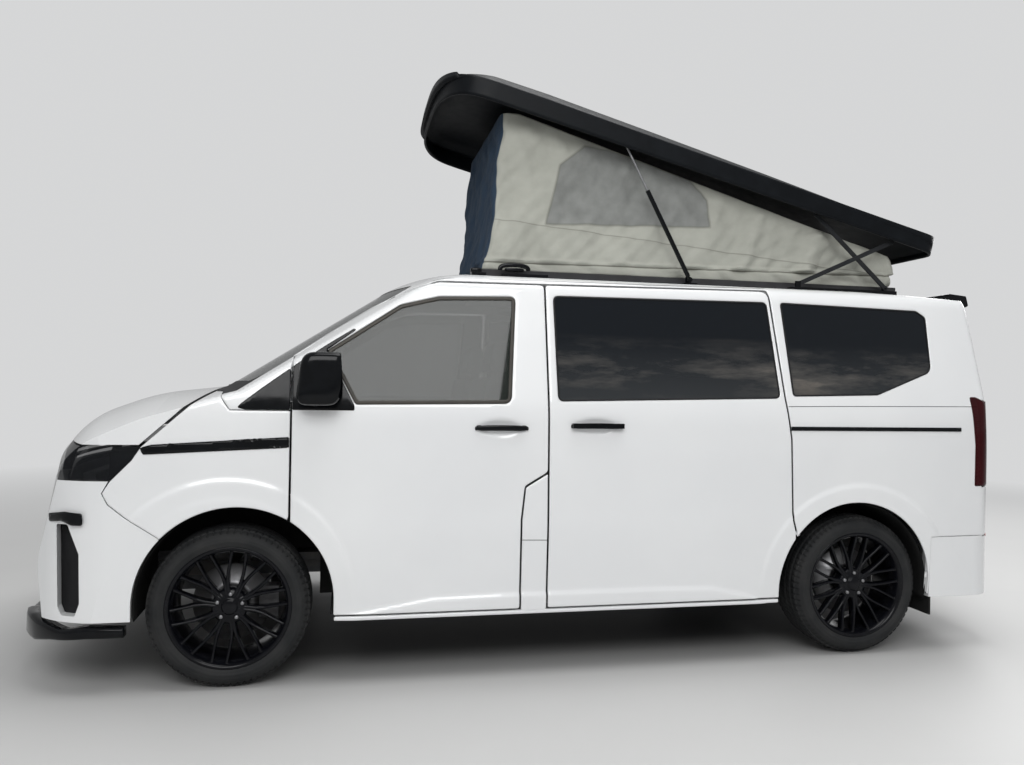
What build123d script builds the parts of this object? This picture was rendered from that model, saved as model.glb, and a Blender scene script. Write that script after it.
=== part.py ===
from build123d import *
import os
from math import atan2, degrees, hypot

# Frame: X forward, Y to the vehicle's left, Z up. The origin is on the ground,
# half way along the vehicle and on its centre line. Lengths are millimetres.

# Whole vehicle
half_width = 1016
sill_height = 285
bumper_bottom = 318
lip_bottom = 208
lip_side_bottom = 250
wall = 60
skin = 25
fixed_gap = 0.6
door_gap = 7
seat_gap = 0.3

# Wheels
front_axle = 1574
rear_axle_x = -1526
track_half = 870
tyre_radius = 356
tyre_width = 255
rim_radius = 254
rim_width = 236
disc_radius = 170
kingpin = 800
spoke_count = 10
hub_radius = 66
spindle_radius = 31.7
hub_bore = 32
arm_reach = 812

# Wheel arches
front_arch = (1549, 380)
front_arch_radius = 426
front_well_radius = 452
front_well_inner = 545
rear_arch = (-1500, 360)
rear_arch_radius = 427
rear_well_radius = 440
rear_well_inner = 530
arch_skin_depth = 76

# Hinge lines
door_hinge_x = 1322
door_hinge_y = 1018
bonnet_hinge = (1690, 1339)
tailgate_hinge = (-2262, 1918)
hinge_pin = 4
hinge_barrel = 120
gate_hinges = (-160, 40)
door_hinges = (520, 1000)

# Roof opening and lifting roof, drawn closed and then lifted
hatch_rear = -1950
hatch_front = 330
hatch_half_width = 520
roof_tilt = 14.3
shell_edge = 1945
shell_half_width = 672
shell_wall = 20
shell_shoulder = (598, 2108)
shell_ridge = 2040
shell_crown = 2148
arm_foot = (-1939, 1950)
arm_tip_closed = (-1339, 1960)
arm_tip_raised = (-1492, 2350)
stay_foot = (-1375, 1950)
stay_tip = (-1971, 2216)
strut_foot = (-736, 1950)
strut_top = (-361, 2654)
pivot_pin = 6
arm_thickness = 8
arm_height = 24
arm_plane = 612
stay_plane = 624
strut_plane = 622
canvas_half_width = 545
canvas_wall = 10
frame_top = 1966

# Posts between the doors, behind their frames
post_front = 260
post_rear = 100
post_outside = 66
post_inside = 100
post_top = 1832
rail_tab = 6.7

# Floor
floor_bottom = 470
floor_top = 510
rail_outer = 510
rail_inner = 430
rail_bottom = 402
tow_eye = (-380, 655)
tow_eye_radius = 8
tow_eye_front = 2428
tow_eye_length = 80

# Door mirrors
mirror_inside = 1003
mirror_outside = 1137

os.makedirs("parts", exist_ok=True)


def save(name, shape):
    """Write one piece, as a compound of its solids."""
    solids = shape.solids() if hasattr(shape, "solids") else [s for part in shape for s in part.solids()]
    solids = [s for s in solids if s.volume > 200]
    export_step(solids[0] if len(solids) == 1 else Compound(children=solids), f"parts/{name}.step")


def turn_sign(points):
    area = sum(a[0] * b[1] - b[0] * a[1] for a, b in zip(points, points[1:] + points[:1]))
    return 1 if area > 0 else -1


def inset(points, distance):
    """Move every side of a closed outline inwards by the distance, outwards if it is negative."""
    sign = turn_sign(points)
    result = []
    for before, here, after in zip(points[-1:] + points[:-1], points, points[1:] + points[:1]):
        ux, uz = here[0] - before[0], here[1] - before[1]
        vx, vz = after[0] - here[0], after[1] - here[1]
        ul, vl = hypot(ux, uz), hypot(vx, vz)
        nx1, nz1 = -uz / ul * sign, ux / ul * sign
        nx2, nz2 = -vz / vl * sign, vx / vl * sign
        scale = distance / (1 + nx1 * nx2 + nz1 * nz2)
        result.append((here[0] + (nx1 + nx2) * scale, here[1] + (nz1 + nz2) * scale))
    return result


def outline(points, place, radii=0):
    """A closed face through the points, placed in space by place(u, v), with rounded corners."""
    corners = [place(u, v) for u, v in points]
    if not isinstance(radii, (list, tuple)):
        radii = [radii] * len(points)
    if max(radii) > 0:
        return Face(Wire(FilletPolyline(*corners, radius=list(radii), close=True).edges()))
    return Face(Wire.make_polygon(corners, close=True))


def side_prism(points, y_from, y_to, radii=0):
    """A prism whose outline is drawn in side view, as x and z."""
    face = outline(points, lambda u, v: (u, y_from, v), radii)
    return Solid.extrude(face, Vector(0, y_to - y_from, 0))


def front_prism(points, x_from, x_to, radii=0):
    """A prism whose outline is drawn in front view, as y and z."""
    face = outline(points, lambda u, v: (x_from, u, v), radii)
    return Solid.extrude(face, Vector(x_to - x_from, 0, 0))


def plan_prism(points, z_from, z_to, radii=0):
    """A prism whose outline is drawn from above, as x and y."""
    face = outline(points, lambda u, v: (u, v, z_from), radii)
    return Solid.extrude(face, Vector(0, 0, z_to - z_from))


def block(x1, x2, y1, y2, z1, z2):
    return Pos((x1 + x2) / 2, (y1 + y2) / 2, (z1 + z2) / 2) * Box(x2 - x1, y2 - y1, z2 - z1)


def rod_y(x, z, y1, y2, radius):
    """A round bar along Y."""
    return Pos(x, (y1 + y2) / 2, z) * (Rot(90, 0, 0) * Cylinder(radius, abs(y2 - y1)))


def rod_x(x1, x2, y, z, radius):
    """A round bar along X."""
    return Pos((x1 + x2) / 2, y, z) * (Rot(0, 90, 0) * Cylinder(radius, x2 - x1))


def rod(start, end, radius):
    """A round bar between two points."""
    start, end = Vector(*start), Vector(*end)
    plane = Plane(origin=start, z_dir=end - start)
    return Solid.extrude(Face(Wire([Edge.make_circle(radius, plane)])), end - start)


def mirrored(shape):
    return mirror(shape, about=Plane.XZ)


def both(shape):
    return Compound(children=[*shape.solids(), *mirrored(shape).solids()])


# Outer form. Each row of the side view is x and z on the centre line, how far
# the point moves at the vehicle's edge, and its corner radius.
side_rows = [
    (-2440, -200, 110, 0, 0),
    (-2525, 330, 120, 0, 60),
    (-2522, 560, 120, 0, 120),
    (-2498, 1120, 190, 0, 1500),
    (-2352, 1911, 160, -80, 95),
    (-1500, 1957, 0, -90, 6000),
    (735, 1957, -150, -90, 760),
    (1700, 1334, -180, -22, 60),
    (2040, 1294, -90, -110, 900),
    (2315, 1190, -150, -105, 330),
    (2440, 1030, -200, -30, 150),
    (2518, 560, -185, 0, 300),
    (2500, 330, -190, 0, 60),
    (2420, -200, -172, 0, 0),
]
section_rows = [
    (1000, 100, 0),
    (1003, 300, 0),
    (1019, 690, 700),
    (1003, 1235, 160),
    (866, 1889, 105),
    (0, 2010, 0),
]
plan_rows = [
    (-2560, 0, 0),
    (-2560, 570, 0),
    (-2430, 815, 160),
    (-2285, 1000, 180),
    (-1900, 1024, 0),
    (1850, 1024, 0),
    (2230, 1003, 420),
    (2430, 800, 330),
    (2600, 420, 0),
    (2600, 0, 0),
]
forms = {}


def reduced(radii, points, depth):
    """Corner radii of an outline that is inset by the depth: less at outer corners, more at inner ones."""
    sign = turn_sign(points)
    result = []
    for radius, before, here, after in zip(radii, points[-1:] + points[:-1], points, points[1:] + points[:1]):
        cross = (here[0] - before[0]) * (after[1] - here[1]) - (here[1] - before[1]) * (after[0] - here[0])
        step = -depth if cross * sign > 0 else depth
        result.append(max(radius + step, 6) if radius else 0)
    return result


def section_prism(depth, x_from, x_to):
    """A prism with the body's cross-section, its surface moved inwards by the depth."""
    half = [(y, z) for y, z, r in section_rows]
    section = half + [(-y, z) for y, z in reversed(half[:-1])]
    radii = [r for y, z, r in section_rows]
    radii += radii[-2::-1]
    return front_prism(inset(section, depth), x_from, x_to, reduced(radii, section, depth))


def outer(depth=0):
    """The whole body as a solid, its surface moved inwards by the depth."""
    if depth in forms:
        return forms[depth]
    reach = half_width + 14
    wires = []
    for y, share in ((-reach, 1), (0, 0), (reach, 1)):
        points = [(x + dx * share, z + dz * share) for x, z, dx, dz, r in side_rows]
        radii = reduced([row[4] for row in side_rows], points, depth)
        face = outline(inset(points, depth), lambda u, v: (u, y, v), radii)
        wires.append(face.outer_wire())
    body = Solid.make_loft(wires)
    body = body & section_prism(depth, -2700, 2700)
    half = [(x, y) for x, y, r in plan_rows[1:-1]]
    plan = half + [(x, -y) for x, y in reversed(half)]
    plan_radii = [r for x, y, r in plan_rows[1:-1]]
    plan_radii += plan_radii[::-1]
    body = body & plan_prism(inset(plan, depth), -100, 2100, reduced(plan_radii, plan, depth))
    forms[depth] = body.solid()
    return forms[depth]


def panel(region, deep=wall, high=0):
    """The body's skin between two depths, inside a region."""
    return (outer(high) & region) - outer(deep)


def largest(shape):
    return shape.solids().sort_by(SortBy.VOLUME)[-1]


# Side-view outlines
door_outline = [
    (door_hinge_x - 3.5, 312), (door_hinge_x - 3.5, 1480), (1165, 1592), (960, 1728),
    (812, 1802), (655, 1848), (138.5, 1854), (138.5, 952), (250, 886), (268, 727), (268, 312),
]
door_radii = [12, 40, 0, 60, 60, 90, 20, 25, 25, 30, 12]
door_glass = [(1168, 1506), (1040, 1262), (318, 1274), (284, 1790), (655, 1777), (838, 1730)]
door_glass_radii = [14, 22, 40, 30, 120, 60]
slide_outline = [
    (131.5, 312), (131.5, 1854), (-1060, 1872), (-1102, 1310), (-1130, 1108), (-1135, 703),
    (-1152, 640), (-1152, 312),
]
slide_radii = [12, 20, 40, 0, 0, 0, 0, 0]
slide_glass = [(95, 1802), (88, 1287), (-1078, 1316), (-1048, 1812)]
quarter_glass = [(-1126, 1813), (-1150, 1327), (-1636, 1340), (-1973, 1468), (-1982, 1764), (-1930, 1797)]
quarter_radii = [20, 20, 40, 60, 30, 40]

wing_outline = [
    (door_hinge_x + 3.5, 100), (door_hinge_x + 3.5, 1231), (1585, 1231), (1640, 1312), (1683, 1312),
    (1804, 1200), (1944, 1070), (1981, 1011), (2066, 921), (2097, 870), (2072, 822), (2002, 765), (1869, 679),
    (1800, 560), (1800, 100),
]
bonnet_outline = [
    (bonnet_hinge[0] + 3.5, 1322), (1810, 1209), (1952, 1078), (2700, 1078), (2700, 1500), (1693.5, 1500),
]
bumper_top = 922
bumper_outline = [
    (1800, bumper_bottom), (1800, 558), (1869.5, 678), (2002.5, 764), (2073, 821), (2098, 870), (2070, bumper_top),
    (2700, bumper_top), (2700, bumper_bottom),
]
lamp_outline = [
    (1945, 1071), (1981.7, 1012.4), (2070.6, bumper_top + fixed_gap), (2700, bumper_top + fixed_gap), (2700, 1071),
]
slot_outline = [(2181, 400), (2200, 345), (2262, 345), (2280, 380), (2292, 735), (2240, 735), (2187, 610)]
rear_bumper_top = 600
cowl_half_width = 875
roof_half_width = 772
lamp_inner = 450

side_outline = [
    (door_hinge_x + 2.9, sill_height), (door_hinge_x + 2.9, 1231 + fixed_gap), (1584, 1231 + fixed_gap),
    (1639.6, 1312 + fixed_gap), (bonnet_hinge[0] - 3.5, 1312 + fixed_gap), (bonnet_hinge[0] - 3.5, 1420),
    (1300, 1700), (600, 2050), (-2600, 2050), (-2600, rear_bumper_top + fixed_gap),
    (-1936, rear_bumper_top + fixed_gap), (-1936, sill_height),
]


def wheel_space(x, z, radius, y_from, y_to):
    """A wheel's opening: round above, straight down to the ground below."""
    side = 1 if y_to > 0 else -1
    y1, y2 = sorted((side * y_from, side * abs(y_to)))
    return rod_y(x, z, y1, y2, radius) + block(x - radius, x + radius, y1, y2, 0, z)


arch_skin = half_width - arch_skin_depth
front_space = wheel_space(front_axle, front_arch[1], front_well_radius, front_well_inner, arch_skin)
front_edge_space = wheel_space(*front_arch, front_arch_radius, arch_skin - 1, half_width + 80)
rear_space = wheel_space(*rear_arch, rear_well_radius, rear_well_inner, arch_skin)
rear_edge_space = wheel_space(*rear_arch, rear_arch_radius, arch_skin - 1, half_width + 80)
wells = [wheel_space(front_axle, front_arch[1], front_well_radius, front_well_inner, half_width),
         wheel_space(*rear_arch, rear_well_radius, rear_well_inner, half_width)]
above_sill = block(-2700, 2700, 300, 1200, sill_height, 2200)


def left(points, radii=0, y_from=782):
    return side_prism(points, y_from, 1100, radii)


screen_region = front_prism([(-862, 1362), (862, 1362), (716, 1846), (-716, 1846)], 560, 1800, [60, 60, 40, 40])
roof_region = block(-2259, 1200, -roof_half_width, roof_half_width, 1846 + fixed_gap, 2100)
tail_lamp_outline = [(-2256, 856), (-2236, 1322), (-2700, 1262), (-2700, 932)]
tail_region = front_prism([(-786, 606), (786, 606), (786, 1960), (-786, 1960)], -2700, -2265.5, [40, 40, 0, 0])
tail_opening = front_prism([(-793, 599), (793, 599), (793, 1980), (-793, 1980)], -2700, -2258.5, [44, 44, 0, 0])
cowl_outline = [(1420, 1232 + fixed_gap), (1420, 1362 - fixed_gap), (1700, 1362 - fixed_gap),
                (bonnet_hinge[0] - 3.5, 1345), (bonnet_hinge[0] - 3.5, 1312 + fixed_gap), (1640, 1312 + fixed_gap),
                (1584, 1232 + fixed_gap)]
pillar_region = front_prism([(-912, 1340), (912, 1340), (758, 1900), (-758, 1900)], 560, 1800)


def door(region, small, apertures):
    """A door as thick as the wall, its inner part set back all round so that it swings clear."""
    body = panel(region)
    body = body - (outer(skin) & (region - small))
    for hole in apertures:
        body = body - hole
    return body


def side_band(outside, inside, x1, x2, z1, z2):
    """A strip of the straight part of the side, between two depths below its surface."""
    strip = section_prism(outside, x1, x2) - section_prism(inside, x1, x2)
    return strip & block(x1, x2, roof_half_width + fixed_gap, 1200, z1, z2)


def build_doors():
    region = left(door_outline, door_radii)
    small = left(inset(door_outline, 14), 0)
    window = left(door_glass, door_glass_radii)
    body = door(region, small, [window, front_edge_space, pillar_region])
    for z in door_hinges:
        body = body - Pos(door_hinge_x, door_hinge_y, z) * Cylinder(hinge_pin + seat_gap, 91)
    save("door_left", body)
    save("door_right", mirrored(body))
    pane = panel(left(inset(door_glass, seat_gap), door_glass_radii), 7, 2)
    save("door_glass_left", pane)
    save("door_glass_right", mirrored(pane))

    region = left(slide_outline, slide_radii)
    window = left(slide_glass, 30)
    body = door(region, left(inset(slide_outline, 14)), [window, rear_edge_space, rear_space])
    save("sliding_door", body)
    save("sliding_door_glass", panel(left(inset(slide_glass, seat_gap), 30), 7, 2))


def build_sides():
    inner_pillar = front_prism([(-905, 1340), (905, 1340), (751, 1900), (-751, 1900)], 560, 1800)
    body = panel(left(side_outline, 0, 500))
    body = body - roof_region - tail_opening - screen_region
    for cut in (front_edge_space, rear_space, rear_edge_space):
        body = body - cut
    body = body - (left(inset(door_outline, -door_gap), 10) - inner_pillar)
    body = body - left(quarter_glass, quarter_radii)
    body = body - left(inset(tail_lamp_outline, -fixed_gap), 0, 300)
    body = body - side_prism(inset(cowl_outline, -fixed_gap), 300, cowl_half_width + fixed_gap)
    body = body - left(inset(bonnet_outline, -1), 0, 300)
    sill = block(-1060, 1120, 880, 1010, sill_height, 306) & outer(0)
    body = body + sill
    post = side_band(post_outside, post_inside, post_rear, post_front, sill_height + 4, post_top)
    post = post + side_band(skin, post_outside + 5, post_rear + 75, post_front - 30, sill_height + 10, 850)
    rail_edge = roof_half_width + fixed_gap
    post = post + block(post_rear + 45, post_front - 5, rail_edge, rail_edge + rail_tab, post_top - 20, post_top + 43)
    body = body + post
    left_side = body - left(inset(slide_outline, -door_gap), 10)
    save("side_left", largest(left_side))
    save("side_right", mirrored(largest(body - left(slide_glass, 30))))
    pane = panel(left(inset(quarter_glass, seat_gap), quarter_radii), 7, 2)
    middle = panel(left(inset(slide_glass, seat_gap), 30), 7, 2)
    save("side_glass", [pane, mirrored(pane), mirrored(middle)])


def build_nose():
    wing = panel(left(wing_outline, 0, 300) & above_sill)
    wing = wing - front_space - front_edge_space
    for z in door_hinges:
        wing = wing + Pos(door_hinge_x, door_hinge_y, z) * Cylinder(hinge_pin, 90)
    save("front_wings", both(largest(wing)))

    region = side_prism(bonnet_outline, -1100, 1100)
    bonnet = panel(region, skin)
    for y in gate_hinges:
        bonnet = bonnet - rod_y(*bonnet_hinge, y - 1, y + hinge_barrel + 1, hinge_pin + seat_gap)
    save("bonnet", bonnet)

    cowl = panel(side_prism(cowl_outline, -cowl_half_width, cowl_half_width), 40) - screen_region
    for y in gate_hinges:
        cowl = cowl + rod_y(*bonnet_hinge, y, y + hinge_barrel, hinge_pin)
    save("cowl", largest(cowl))

    bumper = panel(side_prism(bumper_outline, -1100, 1100), 45)
    intake_outline = [(-640, 395), (640, 395), (560, 600), (-560, 600)]
    intake = front_prism(intake_outline, 1900, 2700, 30)
    slot = left(slot_outline, 12, 600)
    bumper = bumper - intake - slot - mirrored(slot)
    for cut in (front_space, front_edge_space):
        bumper = bumper - cut - mirrored(cut)
    bumper = bumper - rod_x(2200, 2700, *tow_eye, tow_eye_radius + 6)
    save("front_bumper", largest(bumper))

    frame = front_prism([(-lamp_inner, bumper_top + fixed_gap), (lamp_inner, bumper_top + fixed_gap),
                         (lamp_inner, 1071), (-lamp_inner, 1071)], 2000, 2700)
    hole = front_prism([(-lamp_inner + 22, bumper_top + 24), (lamp_inner - 22, bumper_top + 24),
                        (lamp_inner - 22, 1050), (-lamp_inner + 22, 1050)], 2000, 2700, 10)
    ring = panel(frame, 45, 2) - hole
    for z in (970, 1008):
        slat = front_prism([(-lamp_inner + 10, z), (lamp_inner - 10, z), (lamp_inner - 10, z + 12),
                            (-lamp_inner + 10, z + 12)], 2000, 2700)
        ring = ring + panel(slat, 35, 8)
    mesh_region = front_prism(inset(intake_outline, seat_gap), 1900, 2700, 30 - seat_gap)
    lower = panel(mesh_region, 40, 25)
    for z in range(410, 580, 40):
        lower = lower - front_prism([(-546, z), (546, z), (546, z + 26), (-546, z + 26)], 1900, 2700)
    duct = panel(left(inset(slot_outline, -14), 12, 600), wall + seat_gap, 45 + seat_gap)
    save("grille", [ring, lower, duct, mirrored(duct)])

    lamp = panel(side_prism(lamp_outline, lamp_inner + fixed_gap, 1100), 55, 2)
    save("headlamps", both(lamp))

    edge = [(1986, 1012), (2240, 1003), (2440, 800), (2562, 330)]
    edge_radii = [0, 260, 260, 420]
    lip = plan_prism(edge + [(x, -y) for x, y in reversed(edge)], lip_bottom, bumper_bottom - seat_gap,
                     edge_radii + edge_radii[::-1])
    edge = [(1900, 950), (2190, 928), (2350, 720), (2420, 300)]
    inner = plan_prism(edge + [(x, -y) for x, y in reversed(edge)], lip_bottom - 10, bumper_bottom + 10,
                       edge_radii + edge_radii[::-1])
    rise = side_prism([(1900, lip_bottom - 10), (1900, lip_side_bottom), (2180, lip_side_bottom - 4),
                       (2290, lip_bottom), (2290, lip_bottom - 10)], -1100, 1100)
    save("splitter", lip - inner - rise)
    save("windscreen", panel(front_prism([(-861.6, 1362.4), (861.6, 1362.4), (715.6, 1845.6), (-715.6, 1845.6)],
                                         560, 1800, [60, 60, 40, 40]), 7, 2))


def build_roof():
    body = panel(roof_region)
    body = body - plan_prism([(hatch_rear, -hatch_half_width), (hatch_front, -hatch_half_width),
                              (hatch_front, hatch_half_width), (hatch_rear, hatch_half_width)], 1700, 2100, 60)
    body = body - screen_region
    for y in gate_hinges:
        body = body + rod_y(*tailgate_hinge, y, y + hinge_barrel, hinge_pin)
    save("roof_panel", largest(body))


def build_tail():
    gate = panel(tail_region)
    window = front_prism([(-705, 1235), (705, 1235), (655, 1745), (-655, 1745)], -2700, -2290, 60)
    gate = gate - window
    for y in gate_hinges:
        gate = gate - rod_y(*tailgate_hinge, y - 1, y + hinge_barrel + 1, hinge_pin + seat_gap)
    save("tailgate", gate)
    save("tailgate_glass", panel(front_prism([(-704.7, 1235.3), (704.7, 1235.3), (654.7, 1744.7), (-654.7, 1744.7)],
                                             -2700, -2290, 60), 7, 2))
    lamp = panel(left(tail_lamp_outline, 0, 300) - tail_opening, 55, 1)
    save("tail_lamps", both(largest(lamp)))
    region = side_prism([(-2700, sill_height), (-2700, rear_bumper_top - 8), (-2270, rear_bumper_top - 8),
                         (-2270, rear_bumper_top), (-1936.6, rear_bumper_top), (-1936.6, sill_height)], -1100, 1100)
    save("rear_bumper", panel(region))


def build_floor():
    floor = outer(wall + seat_gap) & block(-2379, 1419.7, -945, 945, floor_bottom, floor_top)
    for cut in wells:
        floor = floor - cut - mirrored(cut)
    for side in (-1, 1):
        y1, y2 = sorted((side * 884, side * 940))
        floor = floor + block(-1035, 1090, y1, y2, 306, floor_bottom)
    notch = block(post_rear - 5, post_front + 5, 896, 1000, 300, floor_top + 5)
    floor = floor - notch - mirrored(notch)
    save("floor", floor)
    firewall = outer(wall + seat_gap) & block(1420, 1450, -1000, 1000, floor_bottom, 1231)
    firewall = firewall - wells[0] - mirrored(wells[0])
    save("firewall", firewall)
    rails = []
    for side in (-1, 1):
        y1, y2 = sorted((side * rail_inner, side * rail_outer))
        rails.append(block(-2380, 2400, y1, y2, rail_bottom, floor_bottom - seat_gap))
    beam = (outer(45 + seat_gap) & block(2340, 2600, -620, 620, 610, 700))
    posts = [block(2340, 2400, *sorted((s * rail_inner, s * rail_outer)), floor_bottom - 1, 700) for s in (-1, 1)]
    rear_beam = outer(wall + seat_gap) & block(-2600, -2380, -620, 620, rail_bottom, 560)
    beam = beam - rod_x(tow_eye_front, 2700, *tow_eye, tow_eye_radius + 6)
    beam = beam - rod_x(tow_eye_front - tow_eye_length, 2700, *tow_eye, tow_eye_radius)
    frame = rails[0] + rails[1] + beam + posts[0] + posts[1] + rear_beam
    for x in (-1100, 100, 1300):
        frame = frame + block(x, x + 60, -rail_inner - 5, rail_inner + 5, rail_bottom, floor_bottom - seat_gap)
    save("chassis_rails", frame)
    liner = []
    for x, z, radius, inner in ((front_axle, front_arch[1], front_well_radius, front_well_inner),
                                (*rear_arch, rear_well_radius, rear_well_inner)):
        outside = arch_skin - 1
        ring = wheel_space(x, z, radius - seat_gap, inner + 5, outside)
        ring = ring - wheel_space(x, z, radius - 6, inner + 10, outside + 1)
        ring = ring - block(x - radius + 70, x + radius - 70, inner, inner + 20, 0, 535)
        liner.append(ring & block(x - 600, x + 600, 0, 1200, sill_height + 20, 1200))
    flap = block(-1962, -1952, 800, 985, 186, sill_height - seat_gap)
    save("front_arch_liners", both(liner[0]))
    save("rear_arch_liners", [both(liner[1]), both(flap)])


def build_wheels():
    half = tyre_width / 2
    bead = rim_width / 2 - 8 - seat_gap
    face = outline([(rim_radius, -bead), (rim_radius + 15, -bead), (285, -half + 3), (300, -half), (338, -half + 5),
                    (tyre_radius, -half + 32), (tyre_radius, half - 32), (338, half - 5), (300, half),
                    (285, half - 3), (rim_radius + 15, bead), (rim_radius, bead)], lambda u, v: (u, v, 0), 0)
    tyre = Solid.revolve(face, 360, Axis((0, 0, 0), (0, 1, 0)))
    half = rim_width / 2
    barrel = [(rim_radius + 14, half - 8), (rim_radius + 14, half), (rim_radius - 6, half), (232, half - 30),
              (228, -half + 10), (rim_radius - 10, -half), (rim_radius + 14, -half), (rim_radius + 14, -half + 8),
              (rim_radius - seat_gap, -half + 8), (rim_radius - seat_gap, half - 8)]
    rim = Solid.revolve(outline(barrel, lambda u, v: (u, v, 0), 0), 360, Axis((0, 0, 0), (0, 1, 0)))
    hub = rod_y(0, 0, -8, half - 22, hub_radius)
    rim = rim + hub
    fork = [(48, -15), (118, -14), (238, -48), (240, -31), (150, 0), (240, 31), (238, 48), (118, 14), (48, 15)]
    spoke = side_prism(fork, half - 56, half - 16)
    for number in range(spoke_count):
        rim = rim + Rot(0, 360 / spoke_count * number, 0) * spoke
    disc = rod_y(0, 0, -36, -8, disc_radius)
    rim = rim + disc - rod_y(0, 0, -40, 30, hub_bore)
    rim = rim.solid()
    for name, x, side in (("front_left", front_axle, 1), ("front_right", front_axle, -1),
                          ("rear_left", rear_axle_x, 1), ("rear_right", rear_axle_x, -1)):
        place = Pos(x, track_half * side, tyre_radius)
        save(f"tyre_{name}", place * (tyre if side > 0 else mirrored(tyre)))
        save(f"rim_{name}", place * (rim if side > 0 else mirrored(rim)))

    spindle = rod_y(front_axle, tyre_radius, kingpin - 5, track_half + 20, spindle_radius)
    post = block(front_axle - 28, front_axle + 28, kingpin - 30, kingpin + 12, 228, 500)
    arm = block(front_axle - 190, front_axle - 20, kingpin - 20, kingpin + 22, tyre_radius - 45, tyre_radius + 45)
    caliper = block(front_axle - 205, front_axle - 120, kingpin + 2, track_half + 12, tyre_radius - 70,
                    tyre_radius + 70)
    caliper = caliper - rod_y(front_axle, tyre_radius, track_half - 40, track_half - 4, disc_radius + 4)
    knuckle = (spindle + post + arm + caliper).solid()
    save("knuckle_left", knuckle)
    save("knuckle_right", mirrored(knuckle))

    parts = [block(1500, 1660, -rail_inner + 10, rail_inner - 10, 203, 260)]
    for side in (-1, 1):
        lower = plan_prism([(1440, side * 430), (1720, side * 430), (1600, side * 640), (1600, side * arm_reach),
                            (1548, side * arm_reach), (1548, side * 640)], 203, 228 - seat_gap)
        foot = block(1440, 1720, *sorted((side * (rail_inner - 30), side * (rail_outer - 20))), 203,
                     rail_bottom - seat_gap)
        upper = plan_prism([(1530, side * 505), (1620, side * 505), (1592, side * 640), (1592, side * arm_reach),
                            (1556, side * arm_reach), (1556, side * 640)], 500 + seat_gap, 522)
        tower = block(1530, 1620, *sorted((side * 440, side * 530)), floor_bottom, 560)
        parts += [lower, foot, upper, tower]
    cradle = parts[0]
    for part in parts[1:]:
        cradle = cradle + part
    save("front_suspension", cradle)

    beam = rod_y(rear_axle_x, tyre_radius, -track_half + 62, track_half - 62, 42)
    stub = rod_y(rear_axle_x, tyre_radius, -track_half - 20, track_half + 20, spindle_radius)
    axle = beam + stub
    for side in (-1, 1):
        y1, y2 = sorted((side * rail_inner, side * rail_outer))
        axle = axle + block(rear_axle_x - 50, rear_axle_x + 50, y1, y2, tyre_radius, rail_bottom - seat_gap)
    save("rear_axle", axle)


def build_machinery():
    between = rail_inner - seat_gap
    engine = block(1740, 2230, -360, 360, 300, 1000)
    engine = engine + block(1780, 1880, -between, between, rail_bottom, floor_bottom - seat_gap)
    save("engine_block", engine)
    save("radiator", block(2270, 2330, -between, between, 340, 900))
    pipe = rod((1400, -330, 270), (-1900, -330, 270), 28) + block(-2250, -1850, -400, -240, 230, floor_bottom)
    save("exhaust", pipe)


def build_inside():
    dash = side_prism([(1419.7, floor_top + 250), (1419.7, 1180), (1250, 1200), (1080, 1130), (1080, 900),
                       (1200, 700)], -880, 880, [0, 0, 60, 50, 60, 80])
    dash = dash - wells[0] - mirrored(wells[0])
    save("dashboard", largest(dash))
    wheel = Solid.make_torus(185, 15)
    wheel = wheel + Cylinder(55, 40)
    for angle in (0, 180, 270):
        wheel = wheel + Rot(0, 0, angle) * (Pos(110, 0, 0) * Box(150, 28, 14))
    column = Pos(0, 0, -70) * Cylinder(28, 140)
    tilt = 62
    steering = Pos(960, 400, 1120) * (Rot(0, -tilt, 0) * (wheel + column))
    save("steering_wheel", steering - dash)
    seats = []
    for side in (-1, 1):
        y = side * 400
        cushion = block(420, 920, y - 255, y + 255, 720, 840)
        back = side_prism([(330, 780), (470, 780), (370, 1400), (250, 1400)], y - 245, y + 245, 40)
        head = side_prism([(235, 1430), (345, 1430), (320, 1590), (240, 1590)], y - 130, y + 130, 30)
        stalk = block(285, 300, y - 60, y + 60, 1370, 1470)
        base = block(480, 860, y - 190, y + 190, floor_top, 720)
        seats.append((cushion + back + head + stalk + base).solid())
    save("front_seats", seats)
    bench = block(-1900, -1300, -510, 420, floor_top, 850)
    bench = bench + side_prism([(-1960, 850), (-1860, 850), (-1880, 1400), (-2010, 1400)], -510, 420, 35)
    save("rear_bench", bench)
    save("kitchen_unit", block(-1000, 180, -880, -520, floor_top, 1210))


def raise_roof(shape):
    """Carry a piece of the closed roof to its raised place."""
    closed = Pos(-arm_tip_closed[0], 0, -arm_tip_closed[1])
    lifted = Pos(arm_tip_raised[0], 0, arm_tip_raised[1]) * Rot(0, -roof_tilt, 0)
    return lifted * (closed * shape)


def bar(start, end, y, height=arm_height, thickness=arm_thickness):
    """A flat bar with round ends between two pivots."""
    angle = atan2(end[1] - start[1], end[0] - start[0])
    length = hypot(end[0] - start[0], end[1] - start[1])
    flat = block(0, length, y - thickness / 2, y + thickness / 2, -height / 2, height / 2)
    flat = flat + rod_y(0, 0, y - thickness / 2, y + thickness / 2, height / 2 + 2)
    flat = flat + rod_y(length, 0, y - thickness / 2, y + thickness / 2, height / 2 + 2)
    return Pos(start[0], 0, start[1]) * (Rot(0, -degrees(angle), 0) * flat)


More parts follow.
